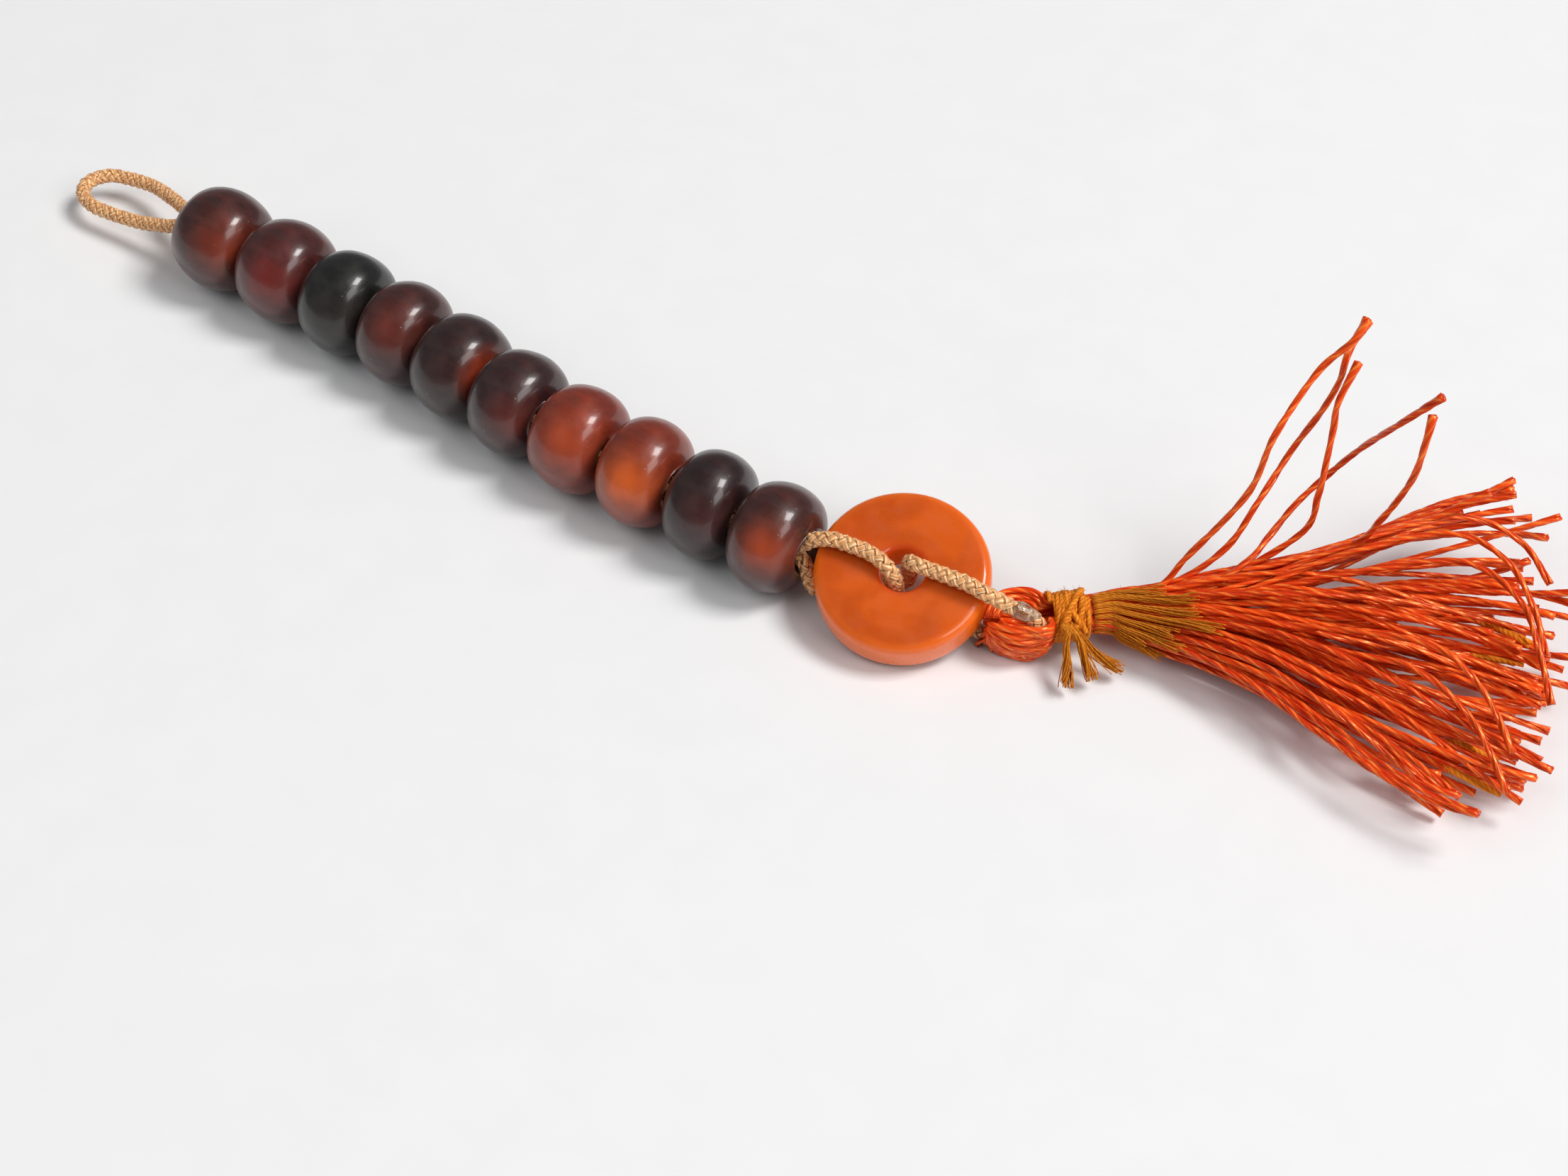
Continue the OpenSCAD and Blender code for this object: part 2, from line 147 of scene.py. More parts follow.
class Slot(Enum):
    """Material slots of the record, one for each kind of piece."""

    HORN_BROWN = "horn_brown"
    HORN_BLACK = "horn_black"
    HORN_RED = "horn_red"
    HORN_ORANGE = "horn_orange"
    RESIN = "resin_orange"
    MELT = "melted_nylon"
    CORD = "cord_braid"
    ORANGE_THREAD = "thread_orange"
    YELLOW_THREAD = "thread_yellow"


# ---------------------------------------------------------------- curves

def smooth_curve(points: list, step: float) -> np.ndarray:
    """Runs a smooth curve through points and spaces its points evenly.

    Args:
        points: the route's points, in millimetres.
        step: the spacing along the curve, in millimetres.

    Returns:
        An array of points, one row each.
    """
    p = np.array(points, float)
    p = np.vstack([2 * p[0] - p[1], p, 2 * p[-1] - p[-2]])
    t = np.linspace(0, 1, DENSE, endpoint=False)[:, None]
    runs = []
    for a, b, c, d in zip(p[:-3], p[1:-2], p[2:-1], p[3:]):
        runs.append(0.5 * (2 * b + (c - a) * t + (2 * a - 5 * b + 4 * c - d) * t ** 2
                           + (3 * b - a - 3 * c + d) * t ** 3))
    dense = np.vstack(runs + [p[-2:-1]])
    along = lengths_along(dense)
    count = max(3, int(round(along[-1] / step)) + 1)
    at = np.linspace(0, along[-1], count)
    return np.stack([np.interp(at, along, dense[:, k]) for k in range(3)], axis=1)


def lengths_along(curve: np.ndarray) -> np.ndarray:
    """Distance of each point from the curve's start, in millimetres."""
    return np.concatenate([[0], np.cumsum(np.linalg.norm(np.diff(curve, axis=0), axis=1))])


def carried_frames(curve: np.ndarray) -> tuple:
    """Carries a frame along a curve with no twist, from a normal that leans up.

    Args:
        curve: points, one row each.

    Returns:
        Arrays of tangents, normals and binormals.
    """
    tangent = np.gradient(curve, axis=0)
    tangent /= np.linalg.norm(tangent, axis=1)[:, None]
    normal = np.zeros_like(curve)
    lean = np.array((0, 0, 1), float)
    if abs(lean @ tangent[0]) > 0.95:
        lean = np.array((0, 1, 0), float)
    for i, t in enumerate(tangent):
        lean = lean - (lean @ t) * t
        lean /= np.linalg.norm(lean)
        normal[i] = lean
    return tangent, normal, np.cross(tangent, normal)


def turned(vector: tuple) -> np.ndarray:
    """Turns a vector by the ring's roll about X and then its pitch about Y."""
    rotation = Euler((math.radians(DISC_TURN[0]), math.radians(DISC_TURN[1]), 0)).to_matrix()
    return np.array(rotation @ Vector(vector))


@dataclass
class Layout:
    """Places of the charm's parts, read from the frame's joints, in millimetres."""

    bends: list = field(default_factory=list)
    bead_at: list = field(default_factory=list)
    bead_axis: list = field(default_factory=list)

    def __post_init__(self) -> None:
        """Reads the joints."""
        joints = {j["name"]: j for j in frame["joints"]}
        place = {name: np.array(j["pos_m"], float) / MM for name, j in joints.items() if "pos_m" in j}
        for k in range(1, BEADS + 1):
            self.bends.append(place[f"bend_{k:02d}"])
            self.bead_at.append(place[f"spin_{k:02d}"])
            self.bead_axis.append(np.array(joints[f"spin_{k:02d}"]["axis"], float))
        self.row_end = 2 * self.bead_at[-1] - self.bends[-1]
        self.disc_at = place["disc_spin"]
        self.pivot = place["tassel_swing"]
        self.swing_axis = np.array(joints["tassel_swing"]["axis"], float)
        self.eye = self.pivot - np.array(BIGHT_EYE[HINGE_POINT])
        self.root = place["skirt_yaw"]
        self.head, self.head_side = self.directions(HEAD_YAW)
        self.skirt, self.skirt_side = self.directions(SKIRT_YAW)

    @staticmethod
    def directions(degrees: float) -> tuple:
        """Level direction at an angle from X, and the direction to its left."""
        yaw = math.radians(degrees)
        ahead = np.array((math.cos(yaw), math.sin(yaw), 0))
        return ahead, np.array((-math.sin(yaw), math.cos(yaw), 0))

    def on_disc(self, p: tuple) -> np.ndarray:
        """Point by the ring: share of its radius, share of the cord across, share of LAY up."""
        return self.disc_at + turned((p[0] * DISC_R, p[1] * CORD_D, p[2] * LAY))

    def past_row(self, p: tuple) -> np.ndarray:
        """Point past the row's end: length, and shares of the cord across and up."""
        return self.row_end + np.array((p[0], p[1] * CORD_D, p[2] * CORD_D))

    def from_eye(self, p: tuple) -> np.ndarray:
        """Point from the middle of the tassel's eye."""
        return self.eye + np.array(p, float)

    def on_skirt(self, s: float, v: float, z: float) -> np.ndarray:
        """Point along the skirt, across it and up, from its root."""
        return self.root + s * self.skirt + v * self.skirt_side + np.array((0, 0, z))

    def leg(self, k: int, side: int) -> np.ndarray:
        """Middle of the leg on one side of the string's axis, at the middle of bead k."""
        across = np.cross((0, 0, 1), self.bead_axis[k])
        return self.bead_at[k] + side * LEG * across


# ---------------------------------------------------------------- meshes

class TubeHeap:
    """Gathers tubes into one mesh with a UV map along them and a tone for each."""

    def __init__(self) -> None:
        """Starts an empty heap."""
        self.points: list = []
        self.faces: list = []
        self.uvs: list = []
        self.tones: list = []
        self.count = 0

    def tube(self, curve: np.ndarray, wide: np.ndarray, thick: np.ndarray, sides: int,
             up: np.ndarray, tone: float) -> None:
        """Adds one closed tube.

        Args:
            curve: centre points in millimetres.
            wide: half width at each point, across up.
            thick: half thickness at each point, along up.
            sides: number of sides.
            up: direction of the thickness at each point.
            tone: a number from 0 to 1 that sets this tube's shade.
        """
        tangent = np.gradient(curve, axis=0)
        tangent /= np.linalg.norm(tangent, axis=1)[:, None]
        up = up - np.sum(up * tangent, axis=1)[:, None] * tangent
        up /= np.linalg.norm(up, axis=1)[:, None]
        across = np.cross(tangent, up)
        wide = np.broadcast_to(wide, len(curve))
        thick = np.broadcast_to(thick, len(curve))
        angle = np.arange(sides) * 2 * math.pi / sides
        ring = (curve[:, None] + np.cos(angle)[None, :, None] * (across * wide[:, None])[:, None]
                + np.sin(angle)[None, :, None] * (up * thick[:, None])[:, None])
        self.points.append(ring.reshape(-1, 3))
        rings = len(curve)
        along = lengths_along(curve)
        for i in range(rings - 1):
            base = self.count + i * sides
            for k in range(sides):
                n = (k + 1) % sides
                self.faces.append((base + k, base + n, base + sides + n, base + sides + k))
                v0, v1 = k / sides, (k + 1) / sides
                self.uvs += [(along[i], v0), (along[i], v1), (along[i + 1], v1), (along[i + 1], v0)]
        last = self.count + (rings - 1) * sides
        self.faces.append(tuple(range(self.count + sides - 1, self.count - 1, -1)))
        self.faces.append(tuple(range(last, last + sides)))
        self.uvs += [(0, 0.5)] * sides + [(along[-1], 0.5)] * sides
        self.tones.append(np.full(rings * sides, tone))
        self.count += rings * sides

    def build(self, name: str, material: bpy.types.Material) -> bpy.types.Object:
        """Makes the mesh object.

        Args:
            name: the piece's name.
            material: its finish.

        Returns:
            The new object, at the origin and in metres.
        """
        mesh = bpy.data.meshes.new(name)
        mesh.from_pydata((np.vstack(self.points) * MM).tolist(), [], self.faces)
        layer = mesh.uv_layers.new(name="along")
        layer.data.foreach_set("uv", np.array(self.uvs, np.float32).ravel())
        tone = mesh.attributes.new("tone", "FLOAT", "POINT")
        tone.data.foreach_set("value", np.concatenate(self.tones).astype(np.float32))
        mesh.polygons.foreach_set("use_smooth", [True] * len(mesh.polygons))
        mesh.materials.append(material)
        mesh.update()
        obj = bpy.data.objects.new(name, mesh)
        bpy.context.collection.objects.link(obj)
        return obj


def add_braid(heap: TubeHeap, curve: np.ndarray, rng: np.random.Generator, phase: float = 0.0) -> None:
    """Braids eight flat strands over and under each other round a core, along a curve.

    Args:
        heap: where the tubes go.
        curve: the cord's middle line.
        rng: source of the strands' tones.
        phase: angle that the braid starts at.
    """
    _, normal, binormal = carried_frames(curve)
    along = lengths_along(curve)
    # The core takes a dark tone, painted shade where it shows in the gaps between the strands.
    heap.tube(curve, BRAID_CORE, BRAID_CORE, 8, normal, 0.1)
    for hand in (1, -1):
        for k in range(4):
            angle = hand * 2 * math.pi * along / BRAID_PITCH + k * math.pi / 2 + phase
            out = np.cos(angle)[:, None] * normal + np.sin(angle)[:, None] * binormal
            radius = BRAID_MIDDLE + hand * BRAID_WAVE * np.cos(8 * math.pi * along / BRAID_PITCH)
            heap.tube(curve + out * radius[:, None], STRAND_WIDE, STRAND_THICK, 6, out,
                      0.35 + 0.5 * rng.random())


def add_thread(heap: TubeHeap, curve: np.ndarray, rng: np.random.Generator, ply: float, pitch: float,
               sides: int = 5, flare: float = 1.0) -> None:
    """Twists two plies round each other along a curve.

    Args:
        heap: where the tubes go.
        curve: the thread's middle line.
        rng: source of the thread's phase and tone.
        ply: radius of a ply.
        pitch: length of one full turn of the twist.
        sides: number of sides of a ply.
        flare: how many times wider the cut end is.
    """
    _, normal, binormal = carried_frames(curve)
    along = lengths_along(curve)
    phase = rng.random() * 2 * math.pi
    shade = rng.random()
    slack = 1 + 0.15 * np.sin(along * 1.3 + phase)
    grow = 1 + (flare - 1) * np.clip((along - along[-1] + FLARE_LENGTH) / FLARE_LENGTH, 0, 1) ** 1.5
    if along[-1] > LONG_THREAD:
        grow -= ROOT_THINNER * np.clip(1 - along / ROOT_LENGTH, 0, 1)
    for k in (0, 1):
        angle = 2 * math.pi * along / pitch + k * math.pi + phase
        out = np.cos(angle)[:, None] * normal + np.sin(angle)[:, None] * binormal
        spread = (PLY_SPREAD * ply * slack * grow)[:, None]
        heap.tube(curve + out * spread, ply * PLY_WIDE * grow, ply * PLY_THICK, sides, out,
                  0.9 * shade + 0.1 * k)


def add_lock(heap: TubeHeap, curve: np.ndarray, rng: np.random.Generator, fibres: int, start: float,
             end: float, fibre: float) -> None:
    """Lays loose fibres side by side along a curve.

    Args:
        heap: where the tubes go.
        curve: the lock's middle line.
        rng: source of each fibre's place.
        fibres: number of fibres.
        start: radius of the lock at its start.
        end: radius of the lock at its end.
        fibre: radius of a fibre.
    """
    _, normal, binormal = carried_frames(curve)
    share = np.linspace(0, 1, len(curve))
    for k in range(fibres):
        turn = 2.4 * k
        reach = math.sqrt((k + 0.5) / fibres)
        size = reach * (start + (end - start) * share ** 2.2) * (1 + 0.25 * share * rng.standard_normal())
        angle = turn + 2.2 * share + 0.35 * share * rng.standard_normal()
        out = np.cos(angle)[:, None] * normal + np.sin(angle)[:, None] * binormal
        stop = len(curve) - int(rng.integers(0, max(1, len(curve) // 6)))
        line = curve + out * size[:, None]
        line += (0.35 * fibre * np.sin(9 * share + turn))[:, None] * binormal
        line[:, 2] = np.maximum(line[:, 2], FLOOR + fibre)
        taper = np.linspace(1, 0.75, stop)
        heap.tube(line[:stop], fibre * taper, fibre * taper, 5, out[:stop], rng.random())


def add_fuzz(heap: TubeHeap, at: np.ndarray, out: np.ndarray, rng: np.random.Generator,
             count: int, length: float, fibre: float = 0.009) -> None:
    """Lets short loose fibres stand off a surface of thread.

    Args:
        heap: where the tubes go.
        at: points on the surface that fibres may start from.
        out: the surface's outward direction at each point.
        rng: source of the fibres' places and lean.
        count: number of fibres.
        length: the longest fibre.
        fibre: radius of a fibre.
    """
    for k in rng.integers(0, len(at), count):
        lean = 0.8 * rng.standard_normal(3)
        curl = 0.9 * rng.standard_normal(3)
        size = length * rng.uniform(0.4, 1.0)
        t = np.linspace(0, 1, 6)[:, None]
        line = at[k] + size * (t * (out[k] + lean) + t * t * curl) * 0.6
        line[:, 2] = np.maximum(line[:, 2], FLOOR + fibre)
        heap.tube(line, fibre, fibre, 3, np.broadcast_to(out[k] + (0.01, 0.02, 0.03), line.shape),
                  rng.uniform(0.5, 1.0))


class OpsPiece:
    """Steps for a piece that is shaped with Blender's own operators."""

    @staticmethod
    def start() -> None:
        """Deselects everything, so that edit mode reaches only the new piece."""
        bpy.ops.object.select_all(action="DESELECT")

    @staticmethod
    def select(mode: str, test: Callable[[Vector], bool]) -> None:
        """Selects elements of the edited mesh by a test.

        Args:
            mode: EDGE or FACE.
            test: takes a place in object space and says whether it is chosen. A face is chosen by its
                middle, and an edge by its middle and both its ends.
        """
        obj = bpy.context.object
        bpy.ops.mesh.select_mode(type=mode)
        bpy.ops.mesh.select_all(action="DESELECT")
        bpy.ops.object.mode_set(mode="OBJECT")
        mesh = obj.data
        if mode == "FACE":
            for face in mesh.polygons:
                face.select = bool(test(face.center))
        elif mode == "EDGE":
            for edge in mesh.edges:
                a, b = (mesh.vertices[i].co for i in edge.vertices)
                edge.select = bool(test(a) and test(b) and test((a + b) / 2))
        bpy.ops.object.mode_set(mode="EDIT")

    @staticmethod
    def roughen(obj: bpy.types.Object, size: float, strength: float, seed: float) -> None:
        """Gives a piece the small unevenness of hand work, and applies it.

        Args:
            obj: the piece.
            size: size of the unevenness in metres.
            strength: its height in metres.
            seed: shifts the pattern.
        """
        texture = bpy.data.textures.new(obj.name + "_uneven", "CLOUDS")
        texture.noise_scale = size
        texture.noise_depth = 1
        shift = bpy.data.objects.new(obj.name + "_shift", None)
        shift.location = (seed, 2.3 * seed, 0)
        bpy.context.collection.objects.link(shift)
        mod = obj.modifiers.new("uneven", "DISPLACE")
        mod.texture = texture
        mod.texture_coords = "OBJECT"
        mod.texture_coords_object = shift
        mod.strength = strength
        mod.mid_level = 0.5
        bpy.ops.object.modifier_apply(modifier=mod.name)
        bpy.data.objects.remove(shift)

    @staticmethod
    def place(obj: bpy.types.Object, matrix: Matrix) -> None:
        """Moves a finished piece to its place and puts the place into its mesh.

        Args:
            obj: the piece.
            matrix: its place, in metres.
        """
        obj.matrix_world = matrix
        OpsPiece.start()
        obj.select_set(True)
        bpy.context.view_layer.objects.active = obj
        bpy.ops.object.transform_apply(location=True, rotation=True, scale=True)
        obj.select_set(False)

    @staticmethod
    def lathe(name: str, outline: list, sides: int) -> bpy.types.Object:
        """Draws a circle out along Z ring by ring, and closes the bore between its ends.

        Args:
            name: the piece's name.
            outline: radius and height of each ring, in metres.
            sides: number of sides.

        Returns:
            The object, active and in edit mode.
        """
        OpsPiece.start()
        radius, height = outline[0]
        bpy.ops.mesh.primitive_circle_add(vertices=sides, radius=radius, location=(0, 0, 0))
        obj = bpy.context.object
        obj.name = obj.data.name = name
        bpy.ops.object.mode_set(mode="EDIT")
        bpy.ops.mesh.select_all(action="SELECT")
        bpy.ops.transform.translate(value=(0, 0, height))
        for wide, high in outline[1:]:
            bpy.ops.mesh.extrude_edges_move(TRANSFORM_OT_translate={"value": (0, 0, high - height)})
            bpy.ops.transform.resize(value=(wide / radius, wide / radius, 1), center_override=(0, 0, high))
            radius, height = wide, high
        bpy.ops.mesh.select_mode(type="EDGE")
        bpy.ops.mesh.select_all(action="DESELECT")
        bpy.ops.mesh.select_non_manifold()
        bpy.ops.mesh.bridge_edge_loops()
        bpy.ops.mesh.select_all(action="SELECT")
        bpy.ops.mesh.normals_make_consistent(inside=False)
        return obj

    @staticmethod
    def ring(name: str, radius: float, depth: float, bore: float, sides: int) -> bpy.types.Object:
        """Makes a drilled cylinder along Z and leaves it in edit mode.

        Args:
            name: the piece's name.
            radius: outer radius in metres.
            depth: thickness in metres.
            bore: radius of the hole in metres.
            sides: number of sides.

        Returns:
            The object, active and in edit mode.
        """
        OpsPiece.start()
        bpy.ops.mesh.primitive_cylinder_add(vertices=sides, radius=radius, depth=depth,
                                            end_fill_type="NGON", location=(0, 0, 0))
        obj = bpy.context.object
        obj.name = obj.data.name = name
        bpy.ops.object.mode_set(mode="EDIT")
        half = 0.49 * depth
        OpsPiece.select("FACE", lambda c: abs(c.z) > half)
        bpy.ops.mesh.inset(thickness=radius - bore, use_individual=True)
        bpy.ops.mesh.bridge_edge_loops()
        return obj


# ---------------------------------------------------------------- finishes

def new_group(name: str, inputs: list, outputs: list) -> tuple:
    """Starts a shader node group.

    Args:
        name: the group's name.
        inputs: name, socket type and default of each input.
        outputs: name and socket type of each output.

    Returns:
        The group, its input node and its output node.
    """
    group = bpy.data.node_groups.new(name, "ShaderNodeTree")
    for label, kind, default in inputs:
        socket = group.interface.new_socket(name=label, in_out="INPUT", socket_type=kind)
        if default is not None:
            socket.default_value = default
    for label, kind in outputs:
        group.interface.new_socket(name=label, in_out="OUTPUT", socket_type=kind)
    return group, group.nodes.new("NodeGroupInput"), group.nodes.new("NodeGroupOutput")


def maths(tree: bpy.types.NodeTree, kind: str, *values: Value, clamp: bool = False) -> bpy.types.NodeSocket:
    """Adds a Math node.

    Args:
        tree: where the node goes.
        kind: its operation.
        values: its inputs, sockets or numbers.
        clamp: whether the result is kept from 0 to 1.

    Returns:
        The node's output.
    """
    node = tree.nodes.new("ShaderNodeMath")
    node.operation = kind
    node.use_clamp = clamp
    for i, value in enumerate(values):
        if isinstance(value, bpy.types.NodeSocket):
            tree.links.new(value, node.inputs[i])
        else:
            node.inputs[i].default_value = value
    return node.outputs[0]


def mix(tree: bpy.types.NodeTree, share: Value, a: Tint, b: Tint) -> bpy.types.NodeSocket:
    """Adds a colour Mix node.

    Args:
        tree: where the node goes.
        share: how much of b there is.
        a: colour at share 0.
        b: colour at share 1.

    Returns:
        The mixed colour.
    """
    node = tree.nodes.new("ShaderNodeMix")
    node.data_type = "RGBA"
    for socket, value in ((node.inputs[0], share), (node.inputs[6], a), (node.inputs[7], b)):
        if isinstance(value, bpy.types.NodeSocket):
            tree.links.new(value, socket)
        else:
            socket.default_value = value
    return node.outputs[2]


def noise(tree: bpy.types.NodeTree, vector: bpy.types.NodeSocket, scale: float, detail: float = 2.0,
          distortion: float = 0.0) -> bpy.types.NodeSocket:
    """Adds a Noise texture.

    Args:
        tree: where the node goes.
        vector: where the noise is looked up.
        scale: how fine it is.
        detail: how many finer layers it has.
        distortion: how much it is stirred.

    Returns:
        The noise, about 0 to 1.
    """
    node = tree.nodes.new("ShaderNodeTexNoise")
    node.inputs["Scale"].default_value = scale
    node.inputs["Detail"].default_value = detail
    node.inputs["Distortion"].default_value = distortion
    tree.links.new(vector, node.inputs["Vector"])
    return node.outputs["Fac"]


def stretch(tree: bpy.types.NodeTree, vector: bpy.types.NodeSocket, scale: tuple,
            location: tuple = (0, 0, 0)) -> bpy.types.NodeSocket:
    """Adds a Mapping node.

    Args:
        tree: where the node goes.
        vector: the vector that is mapped.
        scale: what each axis is multiplied by.
        location: what is added after that.

    Returns:
        The mapped vector.
    """
    node = tree.nodes.new("ShaderNodeMapping")
    node.inputs["Scale"].default_value = scale
    node.inputs["Location"].default_value = location
    tree.links.new(vector, node.inputs["Vector"])
    return node.outputs[0]


def span(tree: bpy.types.NodeTree, value: bpy.types.NodeSocket, low: float, high: float,
         to_low: float = 0.0, to_high: float = 1.0) -> bpy.types.NodeSocket:
    """Maps a value smoothly from one range to another.

    Args:
        tree: where the node goes.
        value: the value that is mapped.
        low: the value that gives to_low.
        high: the value that gives to_high.
        to_low: result at low.
        to_high: result at high.

    Returns:
        The mapped value.
    """
    node = tree.nodes.new("ShaderNodeMapRange")
    node.interpolation_type = "SMOOTHSTEP"
    for i, number in enumerate((low, high, to_low, to_high)):
        node.inputs[i + 1].default_value = number
    tree.links.new(value, node.inputs[0])
    return node.outputs[0]


def rgba(colour: tuple) -> tuple:
    """Colour with full alpha."""
    return (*colour, 1.0)


class Effects:
    """Shader node groups that several finishes share."""

    def __init__(self) -> None:
        """Builds each group once."""
        self.figure_and_glow = self.horn_figure_and_glow()
        self.wear = self.hand_wear()
        self.fibre = self.fibre_lay()

    @staticmethod
    def horn_figure_and_glow() -> bpy.types.NodeTree:
        """Cloudy colour of horn or resin, with streaks, and a painted glowing patch that stands in for
        light shining through it.
        """
        group, start, end = new_group(
            "horn_figure_and_glow",
            [("Vector", "NodeSocketVector", None), ("Deep", "NodeSocketColor", (0, 0, 0, 1)),
             ("Body", "NodeSocketColor", (0.2, 0.1, 0.1, 1)), ("Painted Glow", "NodeSocketColor", (1, 0.3, 0, 1)),
             ("Shine Centre", "NodeSocketVector", (0, 0, 0)), ("Reach", "NodeSocketFloat", 2.0),
             ("Shine Strength", "NodeSocketFloat", 0.6)],
            [("Colour", "NodeSocketColor")])
        vector = start.outputs["Vector"]
        cloud = noise(group, stretch(group, vector, (0.4, 0.4, 0.4)), 1.0, 2.0, 0.5)
        streak = noise(group, stretch(group, vector, (0.35, 2.2, 2.2)), 1.0, 3.0, 0.4)
        both = maths(group, "ADD", maths(group, "MULTIPLY", cloud, 0.5),
                     maths(group, "MULTIPLY", streak, 0.5))
        base = mix(group, span(group, both, 0.3, 0.7), start.outputs["Deep"], start.outputs["Body"])
        # Painted glowing patch: warm colour that fades with distance from the shine centre, standing in for
        # light shining through the horn.
        apart = group.nodes.new("ShaderNodeVectorMath")
        apart.operation = "DISTANCE"
        group.links.new(vector, apart.inputs[0])
        group.links.new(start.outputs["Shine Centre"], apart.inputs[1])
        far = maths(group, "DIVIDE", apart.outputs["Value"], start.outputs["Reach"])
        near = maths(group, "SUBTRACT", 1.0, far, clamp=True)
        soft = maths(group, "MULTIPLY", maths(group, "POWER", near, 1.2), start.outputs["Shine Strength"])
        uneven = maths(group, "MULTIPLY", soft, span(group, cloud, 0.2, 0.7, 0.45, 1.35), clamp=True)
        group.links.new(mix(group, uneven, base, start.outputs["Painted Glow"]), end.inputs["Colour"])
        return group

    @staticmethod
    def hand_wear() -> bpy.types.NodeTree:
        """Fine scratches, pits and nicks of a piece that has been handled."""
        group, start, end = new_group(
            "hand_wear",
            [("Vector", "NodeSocketVector", None), ("Pits", "NodeSocketFloat", 0.5),
             ("Film", "NodeSocketFloat", 0.5)],
            [("Height", "NodeSocketFloat"), ("Nick", "NodeSocketFloat"), ("Dull", "NodeSocketFloat")])
        vector = start.outputs["Vector"]
        cells = group.nodes.new("ShaderNodeTexVoronoi")
        cells.inputs["Scale"].default_value = 1.3
        group.links.new(stretch(group, vector, (1.0, 1.6, 1.6)), cells.inputs["Vector"])
        pit = span(group, cells.outputs["Distance"], 0.03, 0.11, 1.0, 0.0)
        rare = span(group, noise(group, vector, 0.9, 1.0), 0.52, 0.6)
        nick = maths(group, "MULTIPLY", maths(group, "MULTIPLY", pit, rare), start.outputs["Pits"])
        scratch = noise(group, stretch(group, vector, (9.0, 1.1, 1.1)), 1.0, 3.0)
        ripple = noise(group, vector, 2.2, 2.0)
        level = maths(group, "ADD", maths(group, "MULTIPLY", scratch, 0.22),
                      maths(group, "MULTIPLY", ripple, 0.35))
        group.links.new(maths(group, "SUBTRACT", level, nick), end.inputs["Height"])
        group.links.new(nick, end.inputs["Nick"])
        film = span(group, noise(group, vector, 0.7, 3.0), 0.4, 0.65)
        group.links.new(maths(group, "MULTIPLY", film, start.outputs["Film"]), end.inputs["Dull"])
        return group

    @staticmethod
    def fibre_lay() -> bpy.types.NodeTree:
        """Fine fibres that wind along a strand, from its UV map."""
        group, start, end = new_group(
            "fibre_lay",
            [("Count", "NodeSocketFloat", 6.0), ("Slant", "NodeSocketFloat", 1.5),
             ("Seed", "NodeSocketFloat", 0.0)],
            [("Height", "NodeSocketFloat"), ("Shade", "NodeSocketFloat"), ("Crest", "NodeSocketFloat")])
        where = group.nodes.new("ShaderNodeUVMap")
        where.uv_map = "along"
        parts = group.nodes.new("ShaderNodeSeparateXYZ")
        group.links.new(where.outputs[0], parts.inputs[0])
        turn = maths(group, "MULTIPLY", parts.outputs[1], start.outputs["Count"])
        lean = maths(group, "MULTIPLY", parts.outputs[0], start.outputs["Slant"])
        phase = maths(group, "MULTIPLY", maths(group, "ADD", turn, lean), 2 * math.pi)
        wave = maths(group, "MULTIPLY_ADD", maths(group, "SINE", phase), 0.5, 0.5)
        mottled = group.nodes.new("ShaderNodeCombineXYZ")
        group.links.new(maths(group, "MULTIPLY", parts.outputs[0], 2.5), mottled.inputs[0])
        group.links.new(maths(group, "MULTIPLY", parts.outputs[1], 7.0), mottled.inputs[1])
        group.links.new(maths(group, "MULTIPLY", start.outputs["Seed"], 31.0), mottled.inputs[2])
        rough = noise(group, mottled.outputs[0], 1.0, 2.0)
        group.links.new(maths(group, "MULTIPLY", wave, maths(group, "MULTIPLY_ADD", rough, 0.8, 0.4)),
                        end.inputs["Height"])
        shade = maths(group, "ADD", maths(group, "MULTIPLY", wave, 0.5),
                      maths(group, "MULTIPLY", rough, 0.5))
        group.links.new(shade, end.inputs["Shade"])
        round_it = maths(group, "SINE", maths(group, "MULTIPLY", parts.outputs[1], 2 * math.pi))
        group.links.new(span(group, round_it, -0.1, 0.8), end.inputs["Crest"])
        return group


def new_material(name: str) -> tuple:
    """Starts a material and returns it, its tree and its Principled shader."""
    material = bpy.data.materials.new(name)
    material.use_nodes = True
    tree = material.node_tree
    return material, tree, tree.nodes["Principled BSDF"]


def add_bump(tree: bpy.types.NodeTree, shader: bpy.types.Node, height: bpy.types.NodeSocket,
             distance: float, strength: float) -> None:
    """Feeds a height through a Bump node into the shader's normal.

    Args:
        tree: the material's tree.
        shader: its shader.
        height: the height.
        distance: how high a height of 1 stands, in metres.
        strength: how much of it is felt.
    """
    bump = tree.nodes.new("ShaderNodeBump")
    bump.inputs["Distance"].default_value = distance
    bump.inputs["Strength"].default_value = strength
    tree.links.new(height, bump.inputs["Height"])
    tree.links.new(bump.outputs[0], shader.inputs["Normal"])


